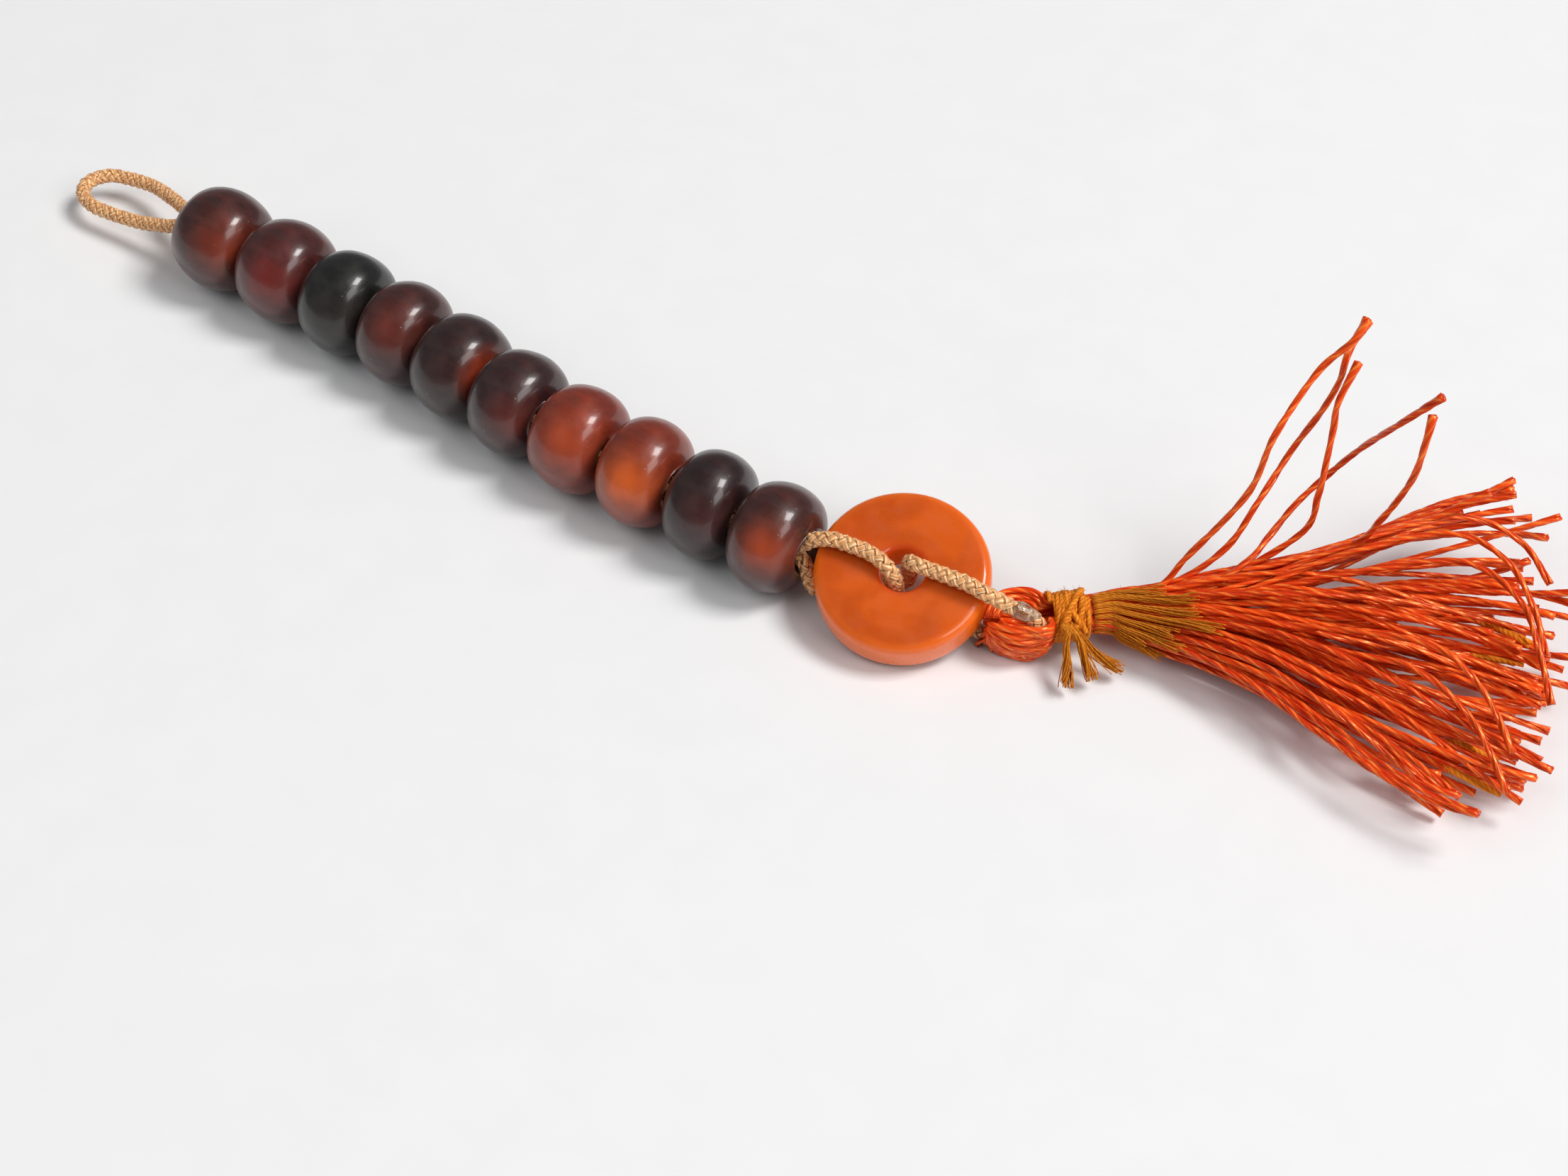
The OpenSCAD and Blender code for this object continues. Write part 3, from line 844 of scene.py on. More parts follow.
@dataclass(frozen=True)
class HornFinish:
    """Polished translucent horn or resin, with a painted glowing patch in its base colour that stands in
    for light shining through it.

    The shine centre is the middle of that painted patch, from the piece's middle, reach is how far the
    patch goes, in millimetres, and shine strength is how strong it is.
    """

    name: str
    deep: tuple
    body: tuple
    painted_glow: tuple
    shine_centre: tuple
    reach: float
    shine_strength: float
    depth: float = 0.25
    gloss: float = 0.3
    pits: float = 0.5
    film: tuple = (0.23, 0.2, 0.19)
    chip: tuple = (0.5, 0.4, 0.33)

    def build(self, effects: Effects, centre: np.ndarray) -> bpy.types.Material:
        """Makes the material.

        Args:
            effects: the shared node groups.
            centre: the piece's middle, in millimetres.

        Returns:
            The material.
        """
        material, tree, shader = new_material(self.name)
        coords = tree.nodes.new("ShaderNodeTexCoord")
        local = stretch(tree, coords.outputs["Object"], (1 / MM,) * 3, tuple(-centre))
        figure_and_glow = tree.nodes.new("ShaderNodeGroup")
        figure_and_glow.node_tree = effects.figure_and_glow
        wear = tree.nodes.new("ShaderNodeGroup")
        wear.node_tree = effects.wear
        for node in (figure_and_glow, wear):
            tree.links.new(local, node.inputs["Vector"])
        figure_and_glow.inputs["Deep"].default_value = rgba(self.deep)
        figure_and_glow.inputs["Body"].default_value = rgba(self.body)
        # Painted glowing patch: light shining through the horn, painted into the base colour round the
        # shine centre.
        figure_and_glow.inputs["Painted Glow"].default_value = rgba(self.painted_glow)
        figure_and_glow.inputs["Shine Centre"].default_value = self.shine_centre
        figure_and_glow.inputs["Reach"].default_value = self.reach
        figure_and_glow.inputs["Shine Strength"].default_value = self.shine_strength
        wear.inputs["Pits"].default_value = self.pits
        film = mix(tree, maths(tree, "MULTIPLY", wear.outputs["Dull"], 0.07), figure_and_glow.outputs["Colour"],
                   rgba(self.film))
        chipped = mix(tree, maths(tree, "MULTIPLY", wear.outputs["Nick"], 0.6), film, rgba(self.chip))
        tree.links.new(chipped, shader.inputs["Base Color"])
        tree.links.new(maths(tree, "MULTIPLY_ADD", wear.outputs["Dull"], 0.16, self.gloss),
                       shader.inputs["Roughness"])
        shader.inputs["Subsurface Weight"].default_value = self.depth
        shader.inputs["Subsurface Radius"].default_value = (1.0, 0.28, 0.1)
        shader.inputs["Subsurface Scale"].default_value = 0.0022
        shader.inputs["Specular IOR Level"].default_value = 0.4
        shader.inputs["Coat Weight"].default_value = 0.45
        shader.inputs["Coat Roughness"].default_value = 0.12
        add_bump(tree, shader, wear.outputs["Height"], 0.00006, 0.5)
        return material


@dataclass(frozen=True)
class RingFinish:
    """Translucent orange resin, with painted shade darkening it round the hole, painted light brightening
    its rim, and painted glowing emission at both.
    """

    name: str = "resin_orange"
    deep: tuple = (0.52, 0.074, 0.004)
    body: tuple = (0.64, 0.100, 0.005)
    # Painted shade: the hole colour darkens the ring round its hole and dish.
    hole: tuple = (0.36, 0.026, 0.002)
    # Painted light: the rim colour brightens the ring towards its edge.
    rim: tuple = (0.78, 0.150, 0.008)
    # Painted light: the next two colours are given off as emission round the hole and at the rim, standing
    # in for light shining through the resin.
    painted_glow: tuple = (0.62, 0.07, 0.004)
    painted_rim_glow: tuple = (0.30, 0.045, 0.0)
    film: tuple = (0.75, 0.55, 0.42)

    def build(self, effects: Effects, centre: np.ndarray) -> bpy.types.Material:
        """Makes the material.

        Args:
            effects: the shared node groups.
            centre: the ring's middle, in millimetres.

        Returns:
            The material.
        """
        material, tree, shader = new_material(self.name)
        coords = tree.nodes.new("ShaderNodeTexCoord")
        local = stretch(tree, coords.outputs["Object"], (1 / MM,) * 3, tuple(-centre))
        flat = tree.nodes.new("ShaderNodeVectorRotate")
        flat.rotation_type = "EULER_XYZ"
        flat.invert = True
        flat.inputs["Rotation"].default_value = (math.radians(DISC_TURN[0]), math.radians(DISC_TURN[1]), 0)
        tree.links.new(local, flat.inputs["Vector"])
        parts = tree.nodes.new("ShaderNodeSeparateXYZ")
        tree.links.new(flat.outputs[0], parts.inputs[0])
        squares = [maths(tree, "MULTIPLY", parts.outputs[k], parts.outputs[k]) for k in (0, 1)]
        radius = maths(tree, "SQRT", maths(tree, "ADD", *squares))
        wear = tree.nodes.new("ShaderNodeGroup")
        wear.node_tree = effects.wear
        wear.inputs["Pits"].default_value = 0.3
        tree.links.new(local, wear.inputs["Vector"])
        cloud = noise(tree, local, 0.32, 3.0, 0.5)
        base = mix(tree, span(tree, cloud, 0.35, 0.65), rgba(self.deep), rgba(self.body))
        # Painted light: brighter towards the rim.
        base = mix(tree, span(tree, radius, 4.7, 5.35, 0.0, 0.7), base, rgba(self.rim))
        # Painted shade: darker round the hole and its dish.
        base = mix(tree, span(tree, radius, 1.35, 1.95, 0.9, 0.0), base, rgba(self.hole))
        film = mix(tree, maths(tree, "MULTIPLY", wear.outputs["Dull"], 0.03), base, rgba(self.film))
        tree.links.new(film, shader.inputs["Base Color"])
        tree.links.new(maths(tree, "MULTIPLY_ADD", wear.outputs["Dull"], 0.14, 0.27),
                       shader.inputs["Roughness"])
        shader.inputs["Subsurface Weight"].default_value = 0.35
        shader.inputs["Subsurface Radius"].default_value = (1.0, 0.2, 0.05)
        shader.inputs["Subsurface Scale"].default_value = 0.002
        shader.inputs["Specular IOR Level"].default_value = 0.2
        shader.inputs["Coat Weight"].default_value = 0.6
        shader.inputs["Coat Roughness"].default_value = 0.1
        # Painted glowing emission at the rim and round the hole, standing in for light shining through the
        # resin; the ring is no lamp.
        through = mix(tree, span(tree, radius, 4.9, 5.4), (0, 0, 0, 1), rgba(self.painted_rim_glow))
        through = mix(tree, span(tree, radius, 1.35, 1.9, 1.0, 0.0), through, rgba(self.painted_glow))
        tree.links.new(through, shader.inputs["Emission Color"])
        shader.inputs["Emission Strength"].default_value = 0.3
        add_bump(tree, shader, wear.outputs["Height"], 0.00005, 0.5)
        return material


@dataclass(frozen=True)
class ThreadFinish:
    """Thread or cord whose fibres catch the light.

    A strand's tone is between dark and light, a painted highlight puts sparks on its crests, and painted
    shade darkens its grooves.
    """

    name: str
    dark: tuple
    light: tuple
    # Painted highlight: colour of the painted sparks on the crests, also used as the sheen tint.
    painted_spark: tuple
    gleam: tuple
    specular: float
    roughness: float
    sheen: float
    count: float
    slant: float
    bump: float
    # Painted shade: how far the grooves at a strand's sides are darkened.
    painted_groove_shade: float = 0.5

    def build(self, effects: Effects) -> bpy.types.Material:
        """Makes the material.

        Args:
            effects: the shared node groups.

        Returns:
            The material.
        """
        material, tree, shader = new_material(self.name)
        fibre = tree.nodes.new("ShaderNodeGroup")
        fibre.node_tree = effects.fibre
        fibre.inputs["Count"].default_value = self.count
        fibre.inputs["Slant"].default_value = self.slant
        tone = tree.nodes.new("ShaderNodeAttribute")
        tone.attribute_name = "tone"
        tree.links.new(tone.outputs["Fac"], fibre.inputs["Seed"])
        strand = mix(tree, tone.outputs["Fac"], rgba(self.dark), rgba(self.light))
        # Painted highlight: sparks on the crests where the fibre pattern is high.
        painted_spark_mask = maths(tree, "MULTIPLY", span(tree, fibre.outputs["Shade"], 0.45, 0.85, 0.0, 0.75),
                       fibre.outputs["Crest"])
        # Painted shade: the sides of each strand are darkened towards a darker copy of its dark tone.
        groove = tuple(0.55 * c for c in self.dark)
        groove_shaded = mix(tree, maths(tree, "MULTIPLY_ADD", fibre.outputs["Crest"], self.painted_groove_shade, 1 - self.painted_groove_shade),
                    rgba(groove), strand)
        tree.links.new(mix(tree, painted_spark_mask, groove_shaded, rgba(self.painted_spark)), shader.inputs["Base Color"])
        tree.links.new(maths(tree, "MULTIPLY_ADD", fibre.outputs["Shade"], -0.12, self.roughness + 0.06),
                       shader.inputs["Roughness"])
        shader.inputs["Specular IOR Level"].default_value = self.specular
        shader.inputs["Specular Tint"].default_value = rgba(self.gleam)
        shader.inputs["Sheen Weight"].default_value = self.sheen
        shader.inputs["Sheen Tint"].default_value = rgba(self.painted_spark)
        shader.inputs["Sheen Roughness"].default_value = 0.4
        shader.inputs["Subsurface Weight"].default_value = 0.12
        shader.inputs["Subsurface Radius"].default_value = (1.0, 0.35, 0.15)
        shader.inputs["Subsurface Scale"].default_value = 0.0004
        add_bump(tree, shader, fibre.outputs["Height"], self.bump, 0.8)
        return material


# Each finish: name, dark and light tones, painted highlight colour of the crests, specular tint, specular
# level, roughness, sheen, fibre count, slant, bump depth, and share of painted shade in the grooves.
CORD_FINISH = ThreadFinish("cord_braid", (0.56, 0.18, 0.05), (0.96, 0.46, 0.17), (1.0, 0.86, 0.56),
                           (1.0, 0.9, 0.7), 0.7, 0.33, 0.1, 5.0, 0.4, 0.00005, 0.8)
ORANGE_FINISH = ThreadFinish("thread_orange", (0.68, 0.032, 0.005), (0.96, 0.085, 0.008),
                             (1.0, 0.30, 0.05), (1.0, 0.55, 0.22), 1.0, 0.25, 0.0, 3.0, 0.35, 0.00003, 0.4)
YELLOW_FINISH = ThreadFinish("thread_yellow", (0.62, 0.15, 0.008), (0.90, 0.25, 0.015),
                             (1.0, 0.42, 0.04), (1.0, 0.8, 0.5), 0.25, 0.75, 0.25, 4.0, 2.0, 0.00005, 0.25)
RING_FINISH = RingFinish()

# One finish for each bead, in order from the hanging loop. In each, the third colour is a painted glowing
# patch, standing in for light shining through the horn, centred at the place after it.
BROWN_DEEP = (0.030, 0.009, 0.008)
BROWN_BODY = (0.085, 0.018, 0.013)
BEAD_FINISHES = [
    (Slot.HORN_BROWN, HornFinish("horn_01", BROWN_DEEP, BROWN_BODY, (0.25, 0.036, 0.013),
                                 (2.2, -1.6, 1.2), 3.2, 0.8)),
    (Slot.HORN_BROWN, HornFinish("horn_02", (0.040, 0.011, 0.010), (0.095, 0.017, 0.014),
                                 (0.20, 0.018, 0.013), (0.8, -2.6, 1.2), 3.0, 0.7)),
    (Slot.HORN_BLACK, HornFinish("horn_03", (0.006, 0.007, 0.006), (0.015, 0.015, 0.013),
                                 (0.035, 0.018, 0.013), (1.5, -2.0, 1.0), 2.5, 0.4, 0.05)),
    (Slot.HORN_BROWN, HornFinish("horn_04", (0.026, 0.009, 0.008), (0.070, 0.018, 0.014),
                                 (0.19, 0.026, 0.014), (0.6, -1.8, 2.4), 2.8, 0.6)),
    (Slot.HORN_BROWN, HornFinish("horn_05", (0.018, 0.008, 0.008), (0.042, 0.014, 0.012),
                                 (0.42, 0.050, 0.012), (3.2, -0.6, 1.0), 2.7, 1.0)),
    (Slot.HORN_BROWN, HornFinish("horn_06", (0.022, 0.009, 0.010), (0.055, 0.016, 0.014),
                                 (0.16, 0.022, 0.013), (1.6, -2.2, 0.8), 2.6, 0.6, 0.2, 0.3, 1.0)),
    (Slot.HORN_RED, HornFinish("horn_07", (0.12, 0.018, 0.010), (0.23, 0.030, 0.013),
                               (0.42, 0.062, 0.016), (0.6, -2.0, 2.0), 3.4, 0.8, 0.3)),
    (Slot.HORN_ORANGE, HornFinish("horn_08", (0.14, 0.020, 0.010), (0.24, 0.034, 0.012),
                                  (0.62, 0.105, 0.012), (0.4, -2.8, 1.4), 3.0, 1.0, 0.3)),
    (Slot.HORN_BROWN, HornFinish("horn_09", (0.015, 0.007, 0.007), (0.036, 0.012, 0.011),
                                 (0.09, 0.016, 0.012), (1.2, -2.2, 1.2), 2.4, 0.4, 0.12)),
    (Slot.HORN_BROWN, HornFinish("horn_10", (0.034, 0.011, 0.009), (0.080, 0.018, 0.013),
                                 (0.36, 0.050, 0.012), (0.9, -2.6, 1.6), 2.6, 0.9)),
]


def finish_piece(obj: bpy.types.Object, slot: Slot, *nodes: str) -> None:
    """Hides the nodes that a piece stands for, and reports its faces.

    Args:
        obj: the piece.
        slot: its material slot; not used.
        nodes: names of the nodes that it replaces.
    """
    if nodes:
        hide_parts(*nodes)
    faces = len(obj.data.polygons)
    LOG.info("%s: %d faces", obj.name, faces)


# ---------------------------------------------------------------- sub-assemblies

@dataclass
class Cord:
    """The doubled braided cord, from the hanging loop to the tassel's eye."""

    layout: Layout
    material: bpy.types.Material
    step: float = 0.15
    seed: int = 11
    # Beads after which the lists of the legs' two bodies and ends are turned round to start at the far one,
    # which is rounded less when all are bent
    from_far_end: tuple = (4, 8)

    def __post_init__(self) -> None:
        """Starts the source of the strands' tones."""
        self.rng = np.random.default_rng(self.seed)

    def loop(self) -> None:
        """Free loop, with both legs as far as the middle of the first bead."""
        lay = self.layout
        gate = lay.bends[0]
        side = np.array((0, LEG, 0))
        route = ([lay.leg(0, 1), gate + side] + [np.array((x, y, z * gate[2])) for x, y, z in LOOP_ROUTE]
                 + [gate - side, lay.leg(0, -1)])
        curve = smooth_curve(route, self.step)
        heap = TubeHeap()
        add_braid(heap, curve, self.rng)
        obj = heap.build("hanging_loop", self.material)
        finish_piece(obj, Slot.CORD, "hang_loop", "string_01")
        tuple(lay.leg(0, 1) * MM)
        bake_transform(obj)

    def between_beads(self) -> None:
        """Both legs from the middle of each bead to the middle of the next."""
        lay = self.layout
        for k in range(BEADS - 1):
            gate = lay.bends[k + 1]
            ahead = 0.5 * (lay.bead_axis[k] + lay.bead_axis[k + 1])
            across = np.cross((0, 0, 1), ahead)
            heap = TubeHeap()
            for side in (1, -1):
                curve = smooth_curve([lay.leg(k, side), gate + side * LEG * across, lay.leg(k + 1, side)],
                                     self.step)
                add_braid(heap, curve, self.rng, phase=0.4 * side)
            obj = heap.build(f"cord_legs_{k + 2:02d}", self.material)
            finish_piece(obj, Slot.CORD, f"string_{k + 2:02d}")
            bodies = [f"string_{k + 1:02d}", f"string_{k + 2:02d}"]
            ends = [(gate - 0.5 * ahead) * MM, (gate + 0.5 * ahead) * MM]
            if k in self.from_far_end:
                bodies.reverse()
                ends.reverse()
            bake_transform(obj)

    def crossing_routes(self) -> tuple:
        """Curves of the leg over the ring and of the leg under it, both to the tassel's eye."""
        lay = self.layout
        over = ([lay.leg(BEADS - 1, -1)] + [lay.past_row(p) for p in OVER_START]
                + [lay.on_disc(p) for p in OVER_DISC]
                + [lay.on_disc(p) for p in BIGHT_BACK[::-1]]
                + [lay.from_eye(p) for p in BIGHT_EYE[:MEETING_POINT - 1:-1]])
        under = ([lay.leg(BEADS - 1, 1)] + [lay.past_row(p) for p in UNDER_START]
                 + [lay.on_disc(p) for p in UNDER_DISC] + [lay.on_disc(p) for p in BIGHT_OUT[1:]]
                 + [lay.from_eye(p) for p in BIGHT_EYE[:MEETING_POINT + 1]])
        return smooth_curve(over, self.step), smooth_curve(under, self.step)

    def crossing(self) -> None:
        """Both legs across the ring."""
        names = ("cord_over_ring", "cord_under_ring")
        for name, curve, rise in zip(names, self.crossing_routes(), (-1, 1)):
            heap = TubeHeap()
            add_braid(heap, curve, self.rng)
            obj = heap.build(name, self.material)
            nodes = ("string_10",) if rise < 0 else ("string_10", "cord_bight")
            finish_piece(obj, Slot.CORD, *nodes)
            way = turned((1, 0, 1.2 * rise))
            way = way / np.linalg.norm(way)
            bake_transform(obj)


@dataclass
class BeadRow:
    """Ten beads turned from horn, each a little different."""

    layout: Layout
    effects: Effects
    roundness: float = 1.36
    edge: float = 0.9
    mouth: float = 0.2
    gap: float = 0.31
    sides: int = 64

    def outline(self, radius: float, half: float) -> list:
        """Outline of a bead from one end of its bore round the outside to the other.

        Args:
            radius: the bead's largest radius in metres.
            half: half its width in metres.

        Returns:
            Radius and height of each point, in metres.
        """
        edge, mouth, bore = self.edge * MM, self.mouth * MM, BORE_R * MM
        turn = np.linspace(90, 0, 7)[:-1]
        heights = [half - edge + edge * math.sin(math.radians(a)) for a in turn]
        heights += list(np.linspace(half - edge, 0, 8))
        side = []
        for z in heights:
            past = max(0.0, (z - half + edge) / edge)
            body = radius * math.sqrt(1 - (z / (self.roundness * half)) ** 2)
            side.append((body - edge * (1 - math.sqrt(max(0.0, 1 - past * past))), z))
        end = [(bore, half - mouth), (bore + 0.35 * mouth, half - 0.3 * mouth), (bore + mouth, half)]
        upper = end + side
        return [(r, -z) for r, z in upper] + upper[::-1][1:]

    def shape(self, k: int) -> bpy.types.Object:
        """Turns bead k from a drilled cylinder.

        Args:
            k: number of the bead, from 0.

        Returns:
            The bead at its place.
        """
        low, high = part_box(f"bead_{k + 1:02d}")
        axis = self.layout.bead_axis[k]
        radius = (high.z - low.z) / 2 - 0.00002
        ends = self.layout.bends + [self.layout.row_end]
        width = (np.linalg.norm(ends[k + 1] - ends[k]) - self.gap) * MM
        obj = OpsPiece.lathe(f"horn_bead_{k + 1:02d}", self.outline(radius, width / 2), self.sides)
        bpy.ops.object.mode_set(mode="OBJECT")
        bpy.ops.object.shade_smooth()
        OpsPiece.roughen(obj, 0.0035, 0.00016, 0.013 * (k + 1))
        turn = Vector((0, 0, 1)).rotation_difference(Vector(axis)).to_matrix().to_4x4()
        OpsPiece.place(obj, Matrix.Translation(Vector(self.layout.bead_at[k]) * MM) @ turn)
        return obj

    def build(self) -> None:
        """Makes and dresses all the beads."""
        for k, (slot, finish) in enumerate(BEAD_FINISHES):
            obj = self.shape(k)
            obj.data.materials.clear()
            obj.data.materials.append(finish.build(self.effects, self.layout.bead_at[k]))
            finish_piece(obj, slot, f"bead_{k + 1:02d}")
            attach(obj, f"bead_{k + 1:02d}")


@dataclass
class FlatRing:
    """Flat resin ring with a rounded rim and a shallow dish round its hole."""

    layout: Layout
    effects: Effects
    rim: float = 0.6
    hole: float = 1.4
    dish: float = 0.4
    sides: int = 128

    def build(self) -> None:
        """Makes and dresses the ring."""
        radius, depth, hole = DISC_R * MM, DISC_T * MM, self.hole * MM
        obj = OpsPiece.ring("flat_ring", radius, depth, hole, self.sides)
        half = 0.49 * depth
        OpsPiece.select("EDGE", lambda c: abs(c.z) > half and c.xy.length > 0.98 * radius)
        bpy.ops.mesh.bevel(offset=self.rim * MM, segments=6, profile=0.5, affect="EDGES",
                           clamp_overlap=False)
        OpsPiece.select("EDGE", lambda c: abs(c.z) > half and c.xy.length < 1.02 * hole)
        bpy.ops.mesh.bevel(offset=self.dish * MM, segments=4, profile=0.5, affect="EDGES",
                           clamp_overlap=False)
        bpy.ops.mesh.select_all(action="SELECT")
        bpy.ops.mesh.normals_make_consistent(inside=False)
        bpy.ops.object.mode_set(mode="OBJECT")
        bpy.ops.object.shade_smooth_by_angle(angle=math.radians(40))
        OpsPiece.roughen(obj, 0.006, 0.00008, 0.031)
        turn = Euler([math.radians(a) for a in DISC_TURN] + [0]).to_matrix().to_4x4()
        OpsPiece.place(obj, Matrix.Translation(Vector(self.layout.disc_at) * MM) @ turn)
        obj.data.materials.clear()
        obj.data.materials.append(RING_FINISH.build(self.effects, self.layout.disc_at))
        finish_piece(obj, Slot.RESIN, "disc")
        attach(obj, "disc")


# Layers of the eye's threads: how many, half length, half width, and half the groove's angle on top
EYE_LAYERS = ((24, 1.95, 1.93, 44), (18, 1.7, 1.62, 46), (12, 1.35, 1.25, 50))
# Layers of the binding: its radius, its turns and how far they slant
WRAP_LAYERS = ((1.36, 10, 0.0), (1.43, 8, 0.35), (1.46, 2, -0.7))
# Strands of the knot: places along the head's axis, and angles round it from the top
KNOT_STRANDS = (
    [(3.9, 30), (3.5, 5), (3.05, -20), (2.75, -45), (2.6, -68), (2.55, -90)],
    [(3.75, -5), (3.6, -28), (3.4, -50), (3.15, -66), (2.95, -80), (2.9, -95)],
    [(3.7, -80), (3.3, -55), (2.85, -38), (2.45, -50), (2.5, -75), (2.95, -82), (3.2, -60)])
# Loose locks of the binding: route from the eye's middle, and radius at the start and the end
LOCKS = (
    ([(2.75, 0.35, 1.25), (3.2, 0.35, 0.9), (3.5, -0.2, 0.3), (4.1, -1, -0.5), (4.6, -1.9, -1.2)],
     0.16, 0.52),
    ([(2.9, 0.5, 1.15), (3.8, 0.55, 0.5), (4.3, 0.3, 0), (5, -0.1, -0.6), (5.6, -0.5, -1.2)],
     0.16, 0.52),
    ([(3.0, 0.7, 1.0), (4.05, 1.0, -0.1), (4.8, 0.95, -0.5), (5.8, 1.1, -0.9), (6.7, 1.3, -1.2)],
     0.26, 0.42))


@dataclass
class TasselHead:
    """Folded eye of the tassel, its yellow binding with a knot, and the melted end of the cord."""

    layout: Layout
    orange: bpy.types.Material
    yellow: bpy.types.Material
    melt: bpy.types.Material
    cord_line: np.ndarray
    neck_start: float = 1.75
    neck_length: float = 2.25
    seal_radius: float = 0.0006
    seed: int = 5

    def __post_init__(self) -> None:
        """Starts the source of the threads' places, and finds where the cord comes as the head swings."""
        self.rng = np.random.default_rng(self.seed)
        lay = self.layout
        near = self.cord_line[np.linalg.norm(self.cord_line - lay.eye, axis=1) < 5.0]
        turns = [Matrix.Rotation(math.radians(a), 3, Vector(lay.swing_axis)) for a in SWING_STEPS]
        self.cord_sweep = np.vstack([lay.pivot + (near - lay.pivot) @ np.array(turn).T for turn in turns])

    def on_head(self, u: float, v: float, z: float) -> np.ndarray:
        """Point along the head's axis, across it and up, from the eye's middle."""
        lay = self.layout
        return lay.eye + u * lay.head + v * lay.head_side + np.array((0, 0, z))

    def clear_of_cord(self, curve: np.ndarray, room: float) -> np.ndarray:
        """Pushes a thread's points out of the cord's way, wherever the head swings.

        Args:
            curve: the thread's middle line.
            room: least distance from the cord's middle.

        Returns:
            The moved points.
        """
        moved = curve.copy()
        rows = np.arange(len(curve))
        for _ in range(4):
            apart = moved[:, None] - self.cord_sweep[None]
            gap = np.linalg.norm(apart, axis=2)
            near = gap.argmin(axis=1)
            close = gap[rows, near]
            push = np.clip(room - close, 0, None) / np.maximum(close, 0.05)
            moved = moved + apart[rows, near] * push[:, None]
            moved[:, 2] = np.maximum(moved[:, 2], FLOOR + 0.25)
        return moved

    def eye(self) -> None:
        """Threads folded round the cord in two lobes, with a groove on top that the cord lies in."""
        heap = TubeHeap()
        for count, long, wide, groove in EYE_LAYERS:
            for k in range(count):
                turn = math.radians(groove + (360 - 2 * groove) * (k + 0.5) / count)
                lean = 0.10 * self.rng.standard_normal()
                route = [self.on_head(2.5, 0.95 * math.sin(turn), 0.95 * math.cos(turn))]
                for theta in np.linspace(24, 172, 12):
                    t = math.radians(theta)
                    angle = turn + lean * math.cos(t) + 0.22 * math.sin(turn) * math.sin(t) ** 2
                    radius = wide * math.sin(t) ** 0.8
                    route.append(self.on_head(long * math.cos(t), radius * math.sin(angle),
                                              radius * math.cos(angle)))
                curve = self.clear_of_cord(smooth_curve(route, 0.22), 0.72)
                add_thread(heap, curve, self.rng, 0.155, 5.0, sides=6)
        obj = heap.build("tassel_eye_threads", self.orange)
        finish_piece(obj, Slot.ORANGE_THREAD, "tassel_eye")
        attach(obj, "tassel_head")

    def wraps(self) -> None:
        """Turns of fuzzy yellow thread round the neck, a few that cross them, and the knot."""
        heap = TubeHeap()
        start, length = self.neck_start, self.neck_length
        at, out = [], []
        for radius, turns, slant in WRAP_LAYERS:
            route = []
            for k in range(turns * 16 + 1):
                a = 2 * math.pi * k / 16
                share = k / (turns * 16)
                u = start + 0.15 + share * (length - 0.12) + slant * 0.3 * math.sin(a + 0.6)
                u = min(max(u, start + 0.1), start + length + 0.05)
                r = radius + 0.035 * math.sin(2.3 * a) + 0.02 * self.rng.standard_normal()
                route.append(self.on_head(u, r * math.sin(a), r * math.cos(a)))
                at.append(self.on_head(u, 1.05 * r * math.sin(a), 1.05 * r * math.cos(a)))
                out.append(math.sin(a) * self.layout.head_side + np.array((0, 0, math.cos(a))))
            add_thread(heap, smooth_curve(route, 0.14), self.rng, 0.11, 2.3, sides=6)
        self.knot(heap)
        add_fuzz(heap, np.array(at), np.array(out), self.rng, 150, 0.4)
        obj = heap.build("binding_wraps", self.yellow)
        finish_piece(obj, Slot.YELLOW_THREAD, "binding")
        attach(obj, "tassel_head")

    def knot(self, heap: TubeHeap) -> None:
        """Adds the binding's knot: three strands that cross over the wraps on the near side.

        Args:
            heap: where the tubes go.
        """
        for k, strand in enumerate(KNOT_STRANDS):
            route = []
            for u, degrees in strand:
                a = math.radians(degrees)
                r = 1.58 + 0.1 * k
                route.append(self.on_head(u, r * math.sin(a), r * math.cos(a)))
            add_thread(heap, smooth_curve(route, 0.12), self.rng, 0.15, 2.0, sides=6)

    def loose_ends(self) -> None:
        """Three frayed locks of the binding thread that hang from the knot."""
        for k, (route, thin, wide) in enumerate(LOCKS):
            heap = TubeHeap()
            curve = smooth_curve([self.layout.from_eye(p) for p in route], 0.25)
            add_lock(heap, curve, self.rng, 34, thin, wide, 0.042)
            add_fuzz(heap, curve, np.tile((0.0, 0.0, 1.0), (len(curve), 1)), self.rng, 14, 0.4)
            obj = heap.build(f"binding_lock_{k + 1}", self.yellow)
            finish_piece(obj, Slot.YELLOW_THREAD, f"binding_end_{k + 1}")
            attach(obj, "tassel_head")

